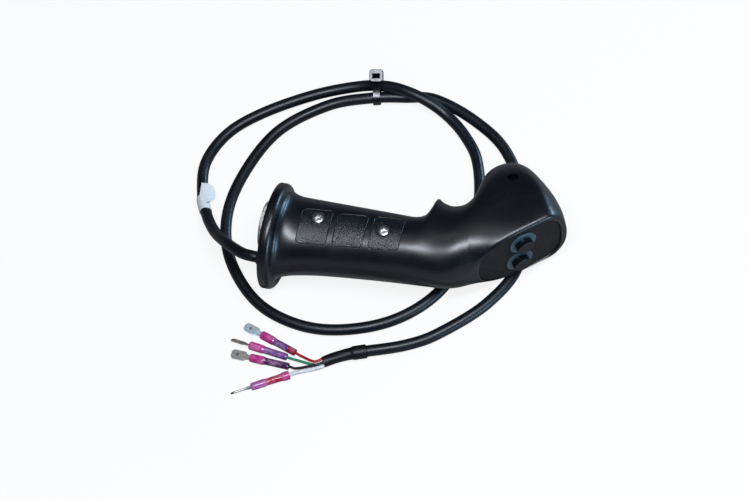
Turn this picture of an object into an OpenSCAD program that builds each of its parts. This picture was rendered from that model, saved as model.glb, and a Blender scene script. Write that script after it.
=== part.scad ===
// Joystick handgrip: a clamshell grip on a round base flange, two thumb push-buttons
// in an oval plate, a steel lever adapter in the base and a looped connection cable.
// Grip frame: X along the grip from the flange, Y to the front, Z to the left side.
// The finished grip lies on its right side, so Z is up.

/* [Base] */
// Diameter of the round base flange
flange_d = 65; // [64.5:0.5:68]
// Thickness of the base flange
flange_t = 7; // [6:0.2:7.4]
// Distance across the flats of the lever adapter
hex_af = 29; // [27:0.5:29]
// Length of adapter that stands out of the flange
hex_out = 5; // [3:0.5:7]
// Length of adapter held inside the grip
hex_in = 21; // [19:0.5:22]
// Diameter of the adapter's threaded bore
lever_bore_d = 10.2; // [8:0.2:14]
// Offset of the adapter towards the front
hex_y = 6; // [5.5:0.1:6.5]

/* [Handle] */
// Sideways width of the handle
handle_w = 42; // [41:0.25:43]
// Distance from the flange's axis to the handle's front edge
handle_front = 27; // [26.5:0.1:28]
// Distance along the grip to the crest of the finger ledge
ledge_x = 91.5; // [90:0.25:93]
// Height of the finger ledge's crest above the flange's axis
ledge_y = 43.4; // [42.4:0.2:44.4]
// Wall of the two shells
wall = 2.6; // [2.2:0.1:2.8]
// Gap between the two shells on the parting plane
shell_gap = 0.2; // [0.1:0.05:0.3]

/* [Head] */
// Sideways width of the head
head_w = 52; // [51:0.25:53]
// Reach of the lobe in front of the flange's axis
lobe_y = 77.2; // [76.2:0.2:78.2]
// Angle between the button plate and the grip's axis
plate_angle = 41.6; // [41:0.1:42.2]

/* [Button plate] */
// Length of the oval button plate
plate_l = 55; // [53:0.5:56]
// Width of the oval button plate
plate_w = 46; // [44:0.5:46.5]
// Thickness of the button plate
plate_t = 3; // [2.6:0.1:3.4]
// Depth of the plate below the lip of the shells
lip_h = 1.2; // [0.8:0.1:1.6]

/* [Buttons] */
// Outer diameter of the bezel rings
bezel_d = 17.7; // [16.5:0.1:18.2]
// Diameter of the button caps
cap_d = 11.2; // [10:0.1:11.4]
// Height of a cap above its bezel
cap_rise = 4; // [3:0.25:5]
// Travel of a button
travel = 2.5; // [1.5:0.1:2.8]
// Distance between the two buttons across the plate
button_pitch = 18.4; // [18.2:0.1:20]
// Shift of the left button towards the top of the plate
stagger = 3.2; // [2.8:0.1:4]

/* [Fasteners] */
// Shank diameter of the handle screws
screw_d = 4; // [3.5:0.1:4.2]
// Head diameter of the handle screws
screw_head_d = 7.6; // [7:0.1:8]
// Shank diameter of the head screw
head_screw_d = 3; // [2.6:0.1:3.2]

/* [Cable] */
// Diameter of the cable
cable_d = 7; // [6.8:0.05:7]
// Diameter of the four leads
lead_d = 1.7; // [1.4:0.1:1.8]
// Diameter of the white lead, which is twice as heavy
white_lead_d = 2.6; // [2:0.1:2.8]
// Width of the tab terminals
tab_w = 6.3; // [4.8:0.1:6.6]

/* [Hidden] */
clear = 0.25;              // between a piece and the pocket that holds it
fine = 96;                 // segments of a large circle
medium = 48;               // segments of a small circle
flange_r = flange_d / 2;
flange_back = 3;           // the mounting face lies this far behind the grip's origin
flange_front = flange_t - flange_back;
base_end = 171.06;         // the grip's far end
half_w = handle_w / 2;
half_head = head_w / 2;
cable_r = cable_d / 2;
cable_y = -16.3;           // the cable's exit in the flange
shell_c = [0.05, 0.06, 0.08];
plate_c = [0.12, 0.1, 0.1];
steel_c = [0.7, 0.72, 0.75];

// The object's frame: origin under the middle of the grip, on the surface it lies on
grip_mid_x = (base_end - flange_back - hex_out) / 2;
grip_mid_y = (lobe_y - flange_r) / 2;
axis_z = flange_r + shell_gap/2;
module lay() translate([-grip_mid_x, -grip_mid_y, axis_z]) children();

// ---------- general functions ----------

// Point at position u on the smooth curve through a list of points
function curve_at(list, u) =
    let (last = len(list) - 1,
         i = min(floor(u), last - 1),
         t = u - i,
         a = list[max(i - 1, 0)],
         b = list[i],
         c = list[i + 1],
         d = list[min(i + 2, last)])
    0.5 * (2*b + (c - a)*t + (2*a - 5*b + 4*c - d)*t*t + (3*b - a - 3*c + d)*t*t*t);

function signed_pow(v, p) = sign(v) * pow(abs(v), p);
function unit(v) = v / norm(v);

// Closed solid through rings of equally many points
module loft(rings) {
    m = len(rings[0]);
    n = len(rings);
    side = [for (i = [0:n - 2], k = [0:m - 1])
        let (a = i*m + k,
             b = i*m + (k + 1) % m,
             c = b + m,
             d = a + m)
        each [[a, c, b], [a, d, c]]];
    start = [for (k = [0:m - 1]) k];
    end = [for (k = [m - 1:-1:0]) (n - 1)*m + k];
    polyhedron([for (r = rings) each r], concat(side, [start, end]));
}

// Ring of radius r about point p, square to direction t
function tube_ring(p, t, r, sides) =
    let (up = abs(t[2]) > 0.95 ? [1, 0, 0] : [0, 0, 1],
         a = unit(cross(up, t)),
         b = cross(t, a))
    [for (k = [0:sides - 1]) let (w = 360 * k / sides) p + r * (cos(w)*a + sin(w)*b)];

// Rings of a round solid swept along a smooth curve, with a radius at each end
function tube_rings(points, r0, r1, sides, steps) =
    let (last = len(points) - 1, n = last * steps)
    [for (i = [0:n])
        let (u = last * i / n,
             p = curve_at(points, u),
             t = unit(curve_at(points, min(u + 0.02, last)) - curve_at(points, max(u - 0.02, 0))))
        tube_ring(p, t, r0 + (r1 - r0) * i / n, sides)];
module tube(points, r0, r1, sides, steps) loft(tube_rings(points, r0, r1, sides, steps));

module ring_z(d_out, d_in, h) difference() {
    cylinder(d = d_out, h = h, $fn = medium);
    translate([0, 0, -1]) cylinder(d = d_in, h = h + 2, $fn = medium);
}

module hex_prism(af, h) cylinder(d = af / cos(30), h = h, $fn = 6);

// ---------- the grip's outer form ----------

// The button plate's frame: X up the plate, Y to the left, Z out of the plate
plate_x = 147.3;
plate_y = 20.9;
module on_plate() translate([plate_x, plate_y, 0]) rotate([0, 0, plate_angle])
    rotate([90, 0, 0]) children();
function plate_point(t, h) = [
    plate_x + t*cos(plate_angle) + h*sin(plate_angle),
    plate_y + t*sin(plate_angle) - h*cos(plate_angle)];

// A section runs from the front edge to the rear edge in the parting plane. It has a
// half width, a squareness (2 is an ellipse) and a lean that thins its front side.
function section(front, rear, half_width, square, lean) =
    [front[0], front[1], rear[0], rear[1], half_width, square, lean];

sections = [
    // root inside the flange, and the bell
    section([0, 29.6], [0, -27.5], 27.5, 2, 0),
    section([4.4, 29.3], [4.4, -26.6], 26, 2, 0),
    section([6.8, 28.3], [6.8, -24.8], half_w + 2.7, 2, 0),
    section([10.8, handle_front + 0.4], [10.8, -23.1], half_w + 1.2, 2, 0),
    section([17, handle_front], [17, -21.1], half_w + 0.3, 2.1, 0),
    // handle
    section([30, handle_front], [30, -18.6], half_w, 2.1, 0),
    section([50, handle_front], [50, -16], half_w, 2.1, 0),
    section([70, handle_front], [70, -13.9], half_w, 2.1, 0),
    section([82, handle_front + 0.2], [82, -12.9], half_w, 2.1, 0),
    // finger ledge
    section([88, 30.6], [87.5, -12.5], half_w, 2.1, 0),
    section([90.2, 37.4], [90.5, -12.4], half_w, 2.1, 0),
    section([ledge_x, ledge_y], [93, -12.3], half_w, 2.1, 0),
    section([ledge_x + 4, ledge_y - 2.2], [97, -12.1], half_w, 2.1, 0),
    // finger notch
    section([102, ledge_y - 3.8], [103.5, -11.7], half_w + 0.6, 2.1, 0),
    section([109, ledge_y - 1.2], [110, -10.2], half_w + 1.6, 2.1, 0.03),
    // lobe in front, button plate behind
    section([113, 48.6], [116, -7.4], half_head - 3, 2.2, 0.08),
    section([113.8, 56.5], plate_point(-29, 3), half_head - 2.6, 2.3, 0.16),
    section([115, 64.5], plate_point(-20, 9), half_head - 2.4, 2.4, 0.24),
    section([118.8, 71.2], plate_point(-9, 14), half_head - 2.2, 2.5, 0.32),
    section([124.8, 75.7], plate_point(2, 16), half_head - 2.5, 2.5, 0.35),
    section([131.2, lobe_y], plate_point(11, 17), half_head - 2.5, 2.5, 0.35),
    section([139.2, 74.9], plate_point(18.5, 16), half_head - 2.9, 2.4, 0.33),
    section([148.4, 68.4], plate_point(23.5, 14), half_head - 6.6, 2.4, 0.28),
    section([157.2, 60.6], plate_point(26.8, 11), half_head - 10.8, 2.3, 0.2),
    section([164.3, 52.6], plate_point(28.7, 7), half_head - 16.6, 2.2, 0.1),
    section([168.4, 46.4], plate_point(30, 3.4), 3, 2, 0)];
last_section = len(sections) - 1;
section_steps = 2;         // rings from one section to the next
arc_steps = 18;            // points round half a section

// Left half of one section, moved inwards by inset
function half_ring(s, inset) =
    let (front = [s[0], s[1]],
         rear = [s[2], s[3]],
         middle = (front + rear) / 2,
         reach = (front - rear) / 2 * (1 - inset / norm(front - rear) * 2),
         power = 2 / s[5])
    [for (k = [0:arc_steps])
        let (a = 180 * k / arc_steps,
             q = middle + reach * signed_pow(cos(a), power))
        [q[0], q[1], (s[4] - inset) * signed_pow(sin(a), power) * (1 - s[6]*cos(a))]];

// Left half of the grip between two sections
module half_form(inset, from, to) {
    n = round((to - from) * section_steps);
    loft([for (i = [0:n]) half_ring(curve_at(sections, from + (to - from)*i/n), inset)]);
}

// Everything on the outer side of the plate's plane raised by h
module above_plate(h) on_plate() translate([-90, -60, h]) cube([180, 120, 60]);

// Oval of the button plate: blunter at the top, and a little wider there
plate_steps = 48;
function plate_outline(grow) = [for (k = [0:plate_steps - 1])
    let (a = 360 * k / plate_steps,
         power = cos(a) > 0 ? 2 / 3.2 : 2 / 2.6)
    [(plate_l/2 + grow) * signed_pow(cos(a), power) - 0.9,
     (plate_w/2 - 0.4 + grow) * signed_pow(sin(a), power) * (1 + 0.06*cos(a))]];
module plate_slab(grow, low, high) translate([0, 0, low])
    linear_extrude(high - low) polygon(plate_outline(grow));

tongue = 0.8;              // rim of the plate that sits in the shells' groove
tongue_low = -2.3;
tongue_high = -1.3;
ledge_t = 2.4;             // the shells' shelf under the plate
ledge_w = 2.2;

// Flange: a disc with a rounded head side, about the X axis
rim_round = 3.4;
module flange() rotate([90, 0, 90]) rotate_extrude($fn = fine) polygon(concat(
    [[0, -flange_back], [flange_r - 0.8, -flange_back], [flange_r, 0.8 - flange_back]],
    [for (a = [0:15:90]) [flange_r - rim_round + rim_round*cos(a),
                          flange_front - rim_round + rim_round*sin(a)]],
    [[0, flange_front]]));
module left_side() translate([-60, -120, 0]) cube([260, 260, 60]);

// ---------- places of the inner pieces ----------

screw_places = [[26.4, 7.4], [67.2, 7]];
counterbore_d = screw_head_d + 2.2;
counterbore_floor = half_w - 3.6;
nut_af = 7;
nut_t = 3.2;
nut_floor = 13.5;          // the nut's inner face, measured down from the parting plane
head_screw_place = [134, 59];
head_hole_d = 6.5;
head_screw_floor = 6;
head_nut_af = 5.5;
head_nut_t = 2.4;
head_nut_floor = 9.6;
handle_boss_d = counterbore_d + 3.6;
head_boss_d = head_hole_d + 3.4;
cavity_from = 5.25;        // the hollow starts past the first screw
cavity_to = last_section - 1.6;
adapter_turn = 8;          // the adapter's flats are turned a little
neck_x = 5;                // groove round the adapter that the shells grip
neck_l = 4;
neck_d = hex_af - 4;
grommet_out = 4.5;
grommet_d = 9.4;
grommet_in = 9;
cable_inner_x = 37;        // where the jacket ends inside

// Lever adapter, also used as its own pocket
module adapter_form(play) translate([0, hex_y, 0]) rotate([0, 90, 0])
    rotate([0, 0, 30 + adapter_turn]) {
        translate([0, 0, -flange_back - hex_out]) {
            difference() {
                hex_prism(hex_af + 2*play, hex_out + hex_in + play);
                translate([0, 0, flange_back + hex_out + neck_x + play])
                    ring_z(2*hex_af, neck_d + 2*play, neck_l - 2*play);
            }
        }
    }

// Passage for the cable from the flange into the hollow
module cable_passage(r, from) tube([
    [from, cable_y, 0],
    [8, cable_y, 0],
    [18, cable_y + 0.4, 0],
    [27, cable_y + 3, 0],
    [cable_inner_x, cable_y + 6.5, 0]], r, r, 16, 3);

module at(places) for (p = places) translate([p[0], p[1], 0]) children();

// Half of the grip with its hollow and bosses, for Z above the parting plane
module half_shell(turn) difference() {
    union() {
        difference() {
            union() {
                half_form(0, 0, last_section);
                intersection() {
                    flange();
                    left_side();
                }
            }
            difference() {
                translate([0, 0, -0.01]) half_form(wall, cavity_from, cavity_to);
                above_plate(-plate_t - ledge_t);
            }
        }
        intersection() {
            union() {
                at([screw_places[1]]) cylinder(d = handle_boss_d, h = 40, $fn = medium);
                at([head_screw_place]) cylinder(d = head_boss_d, h = 40, $fn = medium);
            }
            half_form(1, 4, last_section - 1);
        }
    }
    above_plate(lip_h);
    on_plate() {
        plate_slab(clear, -plate_t - 0.05, lip_h + 1);
        plate_slab(tongue + clear, tongue_low - 0.1, tongue_high + 0.1);
        plate_slab(-ledge_w, -plate_t - ledge_t - 4, 0);
    }
    mirror([0, 0, turn < 0 ? 1 : 0]) adapter_form(clear);
    cable_passage(cable_r + 0.2, -flange_back - 8);
    translate([-flange_back - 1, cable_y, 0]) rotate([0, 90, 0])
        cylinder(d = grommet_d + 0.2, h = grommet_in + 1.2, $fn = medium);
}

// ---------- housing ----------

module left_shell() color(shell_c) lay() translate([0, 0, shell_gap/2]) difference() {
    half_shell(1);
    at(screw_places) {
        translate([0, 0, -1]) cylinder(d = screw_d + 0.5, h = 40, $fn = medium);
        translate([0, 0, counterbore_floor]) cylinder(d = counterbore_d, h = 20, $fn = medium);
    }
    at([head_screw_place]) {
        translate([0, 0, -1]) cylinder(d = head_screw_d + 0.4, h = 30, $fn = medium);
        translate([0, 0, head_screw_floor]) cylinder(d = head_hole_d, h = 30, $fn = medium);
    }
}

module right_shell() color(shell_c) lay() mirror([0, 0, 1]) translate([0, 0, shell_gap/2])
    difference() {
        half_shell(-1);
        at(screw_places) {
            translate([0, 0, -1]) cylinder(d = screw_d + 0.5, h = 20, $fn = medium);
            translate([0, 0, nut_floor]) hex_prism(nut_af + 0.3, 20);
        }
        at([head_screw_place]) {
            translate([0, 0, -1]) cylinder(d = head_screw_d + 0.4, h = 20, $fn = medium);
            translate([0, 0, head_nut_floor]) hex_prism(head_nut_af + 0.3, 20);
        }
    }

// Places of the two buttons on the plate
left_button = [stagger/2, button_pitch/2];
right_button = [-stagger/2, -button_pitch/2];
barrel_d = 13.6;
module on_button(place) lay() on_plate() translate([place[0], place[1], 0]) children();

module face_plate() color(plate_c) lay() on_plate() difference() {
    union() {
        plate_slab(0, -plate_t, 0);
        plate_slab(tongue, tongue_low, tongue_high);
    }
    for (p = [left_button, right_button])
        translate([p[0], p[1], -plate_t - 1]) cylinder(d = barrel_d + 0.3, h = plate_t + 2, $fn = medium);
}

// ---------- push-buttons ----------

bezel_t = 1;
barrel_l = 9;
nut_low = -plate_t - 3.2;
washer_t = 0.6;
body_d = 14;
body_l = 11;
stem_d = 4;
stem_low = -barrel_l - 2;
stem_rest = 0.6;           // room left under the stem when its button is down
cap_skirt = 2.6;           // length of cap below the plate's face
collar_top = -1.1;         // the cap's wider collar stops under the bezel
collar_d = cap_d + 0.8;
run = 0.16;                // running clearance on a diameter
spring_d = 8.4;
wire_d = 0.7;

module bezel(place) color([0.27, 0.37, 0.4]) on_button(place) difference() {
    union() {
        translate([0, 0, 0.02]) cylinder(d = bezel_d, h = bezel_t - 0.32, $fn = fine);
        translate([0, 0, bezel_t - 0.3]) cylinder(d1 = bezel_d, d2 = bezel_d - 0.6, h = 0.3, $fn = fine);
        translate([0, 0, -barrel_l]) cylinder(d = barrel_d, h = barrel_l + 0.1, $fn = fine);
    }
    translate([0, 0, -barrel_l - 1]) cylinder(d = cap_d + run, h = barrel_l + bezel_t + 2, $fn = fine);
    translate([0, 0, -barrel_l - 1])
        cylinder(d = collar_d + run, h = barrel_l + 1.1 + collar_top, $fn = fine);
}
module left_bezel() bezel(left_button);
module right_bezel() bezel(right_button);

module button_washer(place) color([0.1, 0.1, 0.1]) on_button(place)
    translate([0, 0, -plate_t - washer_t - 0.02]) ring_z(barrel_d + 3, barrel_d + 0.2, washer_t);
module left_washer() button_washer(left_button);
module right_washer() button_washer(right_button);

module button_nut(place) color(steel_c) on_button(place) translate([0, 0, nut_low - 0.5])
    difference() {
        hex_prism(16, 2.8);
        translate([0, 0, -1]) cylinder(d = barrel_d + 0.1, h = 6, $fn = medium);
    }
module left_nut() button_nut(left_button);
module right_nut() button_nut(right_button);

module cap(place) color([0.06, 0.05, 0.05]) on_button(place) {
    translate([0, 0, -cap_skirt]) cylinder(d = collar_d, h = cap_skirt + collar_top, $fn = fine);
    translate([0, 0, collar_top])
        cylinder(d = cap_d, h = bezel_t + cap_rise - collar_top - 0.4, $fn = fine);
    translate([0, 0, bezel_t + cap_rise - 0.4]) cylinder(d1 = cap_d, d2 = cap_d - 0.8, h = 0.4, $fn = fine);
}
module left_cap() cap(left_button);
module right_cap() cap(right_button);

// Stem under the cap, which works the switch
module stem(place) color([0.8, 0.78, 0.7]) on_button(place)
    translate([0, 0, stem_low]) cylinder(d = stem_d, h = -stem_low - cap_skirt, $fn = medium);
module left_stem() stem(left_button);
module right_stem() stem(right_button);

spring_turns = 5;
module return_spring(place) color(steel_c) on_button(place) {
    low = -barrel_l + wire_d/2 + 0.05;
    high = -cap_skirt - wire_d/2 - 0.05;
    steps = 10;
    n = spring_turns * steps;
    loft([for (i = [0:n])
        let (w = 360 * i / steps,
             p = [cos(w)*spring_d/2, sin(w)*spring_d/2, low + (high - low) * i / n],
             t = unit([-sin(w), cos(w), (high - low) / spring_turns / (PI*spring_d)]))
        tube_ring(p, t, wire_d/2, 6)]);
}
module left_spring() return_spring(left_button);
module right_spring() return_spring(right_button);

module switch_body(place) color([0.08, 0.08, 0.09]) on_button(place) difference() {
    translate([0, 0, -barrel_l - body_l]) cylinder(d = body_d, h = body_l - 0.02, $fn = medium);
    translate([0, 0, stem_low - travel - stem_rest])
        cylinder(d = stem_d + run, h = body_l, $fn = medium);
}
module left_switch() switch_body(left_button);
module right_switch() switch_body(right_button);

module switch_pins(place) color([0.75, 0.7, 0.5]) on_button(place)
    for (y = [-2.5, 2.5]) translate([-0.4, y - 1, -barrel_l - body_l - 5]) cube([0.8, 2, 4.98]);
module left_pins() switch_pins(left_button);
module right_pins() switch_pins(right_button);

// ---------- fasteners ----------

module handle_screws() color(steel_c) lay() at(screw_places) difference() {
    union() {
        translate([0, 0, counterbore_floor + shell_gap/2 + 0.02])
            cylinder(d = screw_head_d, h = 1, $fn = medium);
        translate([0, 0, counterbore_floor + shell_gap/2 + 1.02])
            cylinder(d1 = screw_head_d, d2 = screw_head_d - 3, h = 1.2, $fn = medium);
        translate([0, 0, -nut_floor - nut_t]) cylinder(d = screw_d, h = nut_floor + nut_t + counterbore_floor + 0.5, $fn = medium);
    }
    translate([0, 0, counterbore_floor + 0.8]) hex_prism(2.5, 3);
}

module head_screw() color(steel_c) lay() at([head_screw_place]) difference() {
    union() {
        translate([0, 0, head_screw_floor + shell_gap/2 + 0.02]) cylinder(d = 5.6, h = 2, $fn = medium);
        translate([0, 0, -head_nut_floor - head_nut_t])
            cylinder(d = head_screw_d, h = head_nut_floor + head_nut_t + head_screw_floor + 0.5, $fn = medium);
    }
    translate([0, 0, head_screw_floor + 0.9]) hex_prism(2, 3);
}

module nut(af, bore, t) difference() {
    hex_prism(af, t);
    translate([0, 0, -1]) cylinder(d = bore + 0.02, h = t + 2, $fn = medium);
}
module shell_nuts() color(steel_c) lay() {
    at(screw_places) translate([0, 0, -nut_floor - nut_t - shell_gap/2]) nut(nut_af, screw_d, nut_t - 0.1);
    at([head_screw_place]) translate([0, 0, -head_nut_floor - head_nut_t - shell_gap/2])
        nut(head_nut_af, head_screw_d, head_nut_t - 0.1);
}

// ---------- base ----------

module lever_adapter() color(steel_c) lay() difference() {
    adapter_form(0);
    translate([-flange_back - hex_out - 1, hex_y, 0]) rotate([0, 90, 0])
        cylinder(d = lever_bore_d, h = hex_out + hex_in - 2, $fn = medium);
}

module cable_grommet() color([0.07, 0.07, 0.07]) lay() translate([-flange_back - grommet_out, cable_y, 0])
    rotate([0, 90, 0]) difference() {
        union() {
            cylinder(d1 = grommet_d - 0.8, d2 = grommet_d, h = 1, $fn = medium);
            translate([0, 0, 1]) cylinder(d = grommet_d, h = grommet_out + grommet_in - 1, $fn = medium);
        }
        translate([0, 0, -1]) cylinder(d = cable_d + 0.1, h = 40, $fn = medium);
    }

// ---------- cable ----------

// Rest height of the cable's centre on the surface
floor_z = cable_r + 0.1;
end_sleeve_route = [[-14, -73.2, 4.5], [-22, -76.4, 4.5], [-30, -80.4, 4.2], [-38, -85.6, 3.9]];
exit_point = [-flange_back - grommet_out - 0.06 - grip_mid_x, cable_y - grip_mid_y, axis_z];
cable_route = concat([exit_point, exit_point - [4, 0, 0]], [
    [-100, -37, 31], [-112, -29.5, 25], [-124, -18.5, 15.5], [-134, -4.5, 8],
    [-142, 12, 3.8], [-146, 34, floor_z], [-138, 57, floor_z], [-120, 76, floor_z],
    [-92, 95, floor_z], [-66, 105.8, 5.2], [-48, 106.8, 10], [-34, 104.8, 11.8],
    [-20, 101.6, 10], [-6, 96.6, 5], [8, 85.5, floor_z], [20, 69, floor_z],
    [28, 40, floor_z], [28, 4, floor_z], [16, -29, floor_z], [-10, -53, floor_z],
    [-48, -64.5, floor_z], [-84, -57, floor_z], [-110, -33, floor_z], [-122, -4, floor_z],
    [-121, 28, floor_z], [-108, 64, floor_z], [-82, 89, floor_z], [-56, 99.2, 5.2],
    [-36, 104.8, floor_z], [-16, 107.2, floor_z], [12, 97, floor_z], [36, 79.5, floor_z],
    [54, 48, floor_z], [62, 6, floor_z], [50, -25, floor_z], [26, -51.5, floor_z],
    [8, -63.8, floor_z], end_sleeve_route[0] + [0.05, 0.02, 0]]);
// Rings from..to of the cable, grown by a clearance or a wall
module cable_span(grow, from, to) {
    rings = tube_rings(cable_route, cable_r + grow, cable_r + grow, 8, 2);
    loft([for (i = [from:min(to, len(rings) - 1)]) rings[i]]);
}
module cable() color([0.03, 0.04, 0.05]) cable_span(0, 0, 2 * len(cable_route));

module inner_cable() color([0.03, 0.04, 0.05]) lay()
    cable_passage(cable_r - 0.1, -flange_back - grommet_out);

tie_place = [-53, 103.7, 6.6];
tie_turn = 12;             // the tie lies square to the two strands it holds
tie_strands = [23, 58];    // the cable's rings after which the two strands run through it
tie_w = 4.6;
tie_t = 1.1;
tie_play = 0.15;
module tie_strand(k, grow) {
    a = curve_at(cable_route, k/2);
    b = curve_at(cable_route, (k + 1)/2);
    way = unit(b - a);
    translate((a + b)/2) rotate([0, acos(way[2]), atan2(way[1], way[0])])
        cylinder(r = cable_r + grow, h = 22, center = true, $fn = 32);
}
module tie_loop(grow, width) intersection() {
    hull() {
        tie_strand(tie_strands[0], grow);
        tie_strand(tie_strands[1], grow);
    }
    translate(tie_place) rotate([0, 0, tie_turn]) cube([width, 40, 40], center = true);
}
module cable_tie() color([0.04, 0.04, 0.04]) {
    difference() {
        tie_loop(tie_play + tie_t, tie_w);
        tie_loop(tie_play, tie_w + 2);
    }
    translate(tie_place) rotate([90, 0, 90 + tie_turn]) translate([4.9, 6.2, 0]) rotate([0, 0, -38])
        difference() {
            translate([-3.6, -0.2, -4.2]) cube([7.2, 5, 8.4]);
            translate([-0.9, 0.8, -2.6]) cube([1.8, 7, 5.2]);
        }
}

label_t = 0.45;
label_from = 11;           // the cable's rings between which the label is wrapped round it
module cable_label() color([0.9, 0.92, 0.95]) difference() {
    cable_span(0.15 + label_t, label_from, label_from + 1);
    cable_span(0.15, label_from - 1, label_from + 2);
}

module end_sleeve() color([0.04, 0.04, 0.04]) tube(end_sleeve_route, 4.3, 3.4, 12, 3);

// ---------- leads and terminals ----------

sleeve_d = 4.4;
sleeve_l = 24.5;
terminal_z = 2.4;
// Each terminal: end of its sleeve at the lead, heading of the sleeve, roll
terminals = [
    [[-56.6, -82.4, terminal_z], 162, 8],
    [[-60.6, -86.6, 3], 173, 52],
    [[-58, -92.2, terminal_z], 178, 0],
    [[-56, -97.4, terminal_z], 212, 0]];

module at_terminal(k) translate(terminals[k][0]) rotate([0, 0, terminals[k][1]])
    rotate([terminals[k][2], 0, 0]) children();

module terminal_sleeve(k) color([0.55, 0.1, 0.4]) at_terminal(k) rotate([0, 90, 0])
    ring_z(sleeve_d, sleeve_d - 1, sleeve_l);
module red_terminal_sleeve() terminal_sleeve(0);
module green_terminal_sleeve() terminal_sleeve(1);
module black_terminal_sleeve() terminal_sleeve(2);
module white_terminal_sleeve() terminal_sleeve(3);

crimp_d = 3.2;
crimp_l = 8;
tab_l = 9.5;
tab_t = 0.8;
module crimp() translate([sleeve_l - crimp_l, 0, 0]) rotate([0, 90, 0])
    cylinder(d = crimp_d, h = crimp_l, $fn = medium);
module tab_terminal(k) color(steel_c) at_terminal(k) {
    crimp();
    translate([sleeve_l - 0.5, -1.5, -tab_t/2]) cube([3.5, 3, tab_t]);
    translate([sleeve_l + 2.6, 0, -tab_t/2]) difference() {
        linear_extrude(tab_t) polygon([[0, -tab_w/2 + 0.8], [0.8, -tab_w/2], [tab_l - 1.2, -tab_w/2],
            [tab_l, -tab_w/2 + 1], [tab_l, tab_w/2 - 1], [tab_l - 1.2, tab_w/2], [0.8, tab_w/2],
            [0, tab_w/2 - 0.8]]);
        translate([tab_l - 4, 0, -1]) cylinder(d = 1.7, h = 3, $fn = medium);
    }
}
module red_terminal() tab_terminal(0);
module green_terminal() tab_terminal(1);
module black_terminal() tab_terminal(2);
module white_terminal() color(steel_c) at_terminal(3) {
    crimp();
    translate([sleeve_l - 0.1, 0, 0]) rotate([0, 90, 0]) cylinder(d = 2, h = 11, $fn = medium);
    translate([sleeve_l + 10.9, 0, 0]) rotate([0, 90, 0]) cylinder(d1 = 2, d2 = 1.2, h = 1.4, $fn = medium);
}

mouth_along = unit(end_sleeve_route[3] - end_sleeve_route[2]);
mouth_across = unit(cross([0, 0, 1], mouth_along));
function lead_start(side, lift) = end_sleeve_route[3] + mouth_along * 0.03
    + mouth_across * side + [0, 0, lift];
function heading(k) = [cos(terminals[k][1]), sin(terminals[k][1]), 0];
module lead(k, side, lift, d) tube([
    lead_start(side, lift),
    lead_start(side, lift) + mouth_along * 5,
    terminals[k][0] - heading(k) * 5,
    terminals[k][0],
    terminals[k][0] + heading(k) * (sleeve_l - crimp_l - 0.05)], d/2, d/2, 8, 4);
module red_lead() color([0.7, 0.05, 0.06]) lead(0, -2, 0.8, lead_d);
module green_lead() color([0.1, 0.55, 0.35]) lead(1, -0.6, -1.1, lead_d);
module black_lead() color([0.05, 0.05, 0.05]) lead(2, 0.6, 1.1, lead_d);
module white_lead() color([0.85, 0.85, 0.85]) lead(3, 2, -0.8, white_lead_d);

left_shell();
right_shell();
face_plate();
left_bezel();
right_bezel();
left_washer();
right_washer();
left_nut();
right_nut();
left_cap();
right_cap();
left_stem();
right_stem();
left_spring();
right_spring();
left_switch();
right_switch();
left_pins();
right_pins();
handle_screws();
head_screw();
shell_nuts();
lever_adapter();
cable_grommet();
inner_cable();
cable();
cable_tie();
cable_label();
end_sleeve();
red_lead();
green_lead();
black_lead();
white_lead();
red_terminal();
green_terminal();
black_terminal();
white_terminal();
red_terminal_sleeve();
green_terminal_sleeve();
black_terminal_sleeve();
white_terminal_sleeve();
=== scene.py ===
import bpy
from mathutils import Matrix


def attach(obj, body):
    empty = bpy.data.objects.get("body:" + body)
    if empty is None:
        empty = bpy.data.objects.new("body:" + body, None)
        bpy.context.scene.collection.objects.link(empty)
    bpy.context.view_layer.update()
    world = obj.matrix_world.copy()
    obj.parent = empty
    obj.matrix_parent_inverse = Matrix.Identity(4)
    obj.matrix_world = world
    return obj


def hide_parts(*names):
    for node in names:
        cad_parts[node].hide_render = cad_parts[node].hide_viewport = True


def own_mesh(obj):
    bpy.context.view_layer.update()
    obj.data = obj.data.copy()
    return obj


bl_info = {
    "name": "Joystick Handgrip",
    "version": (1, 0, 0),
    "blender": (4, 5, 0),
    "location": "View3D > Sidebar > Handgrip",
    "description": "Dresses a joystick handgrip with its buttons, screws, cable and terminals",
    "category": "Object",
}

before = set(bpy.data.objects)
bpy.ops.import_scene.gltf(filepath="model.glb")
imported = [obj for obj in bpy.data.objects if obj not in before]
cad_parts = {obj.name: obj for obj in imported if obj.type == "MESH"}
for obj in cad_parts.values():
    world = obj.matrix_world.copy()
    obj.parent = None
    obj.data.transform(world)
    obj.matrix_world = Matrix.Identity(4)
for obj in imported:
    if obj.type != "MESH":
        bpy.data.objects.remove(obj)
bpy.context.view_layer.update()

import math

import bmesh
import bpy
import numpy as np
from bpy.props import FloatProperty, FloatVectorProperty, PointerProperty
from mathutils import Matrix, Vector

MM = 0.001

# ---------------------------------------------------------------- the grip's own frame
# The grip's axis runs along X from the flange, its front faces Y and its left side Z.
TIP_X, LOBE_Y = 171.06, 77.2                # the grip's far end, and the top of its lobe
FLANGE_R, FLANGE_BACK, FLANGE_FRONT, RIM_ROUND = 32.5, 3, 4, 3.4
ADAPTER_OUT, ADAPTER_Y = 5, 6               # how far the adapter's solid stands out and up
GRIP_MID_X = (TIP_X - FLANGE_BACK - ADAPTER_OUT) / 2
GRIP_MID_Y = (LOBE_Y - FLANGE_R) / 2
AXIS_Z = 32.6                               # the axis above the floor
SHELL_GAP = 0.1                             # from the parting plane to each half
PLATE_X, PLATE_Y, PLATE_ANGLE = 147.3, 20.9, math.radians(41.6)
CABLE_D, GLAND_Y = 7, -16.3
UP = Vector((0, 0, 1))
Z_TO_X = Matrix.Rotation(math.radians(90), 4, "Y")


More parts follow.
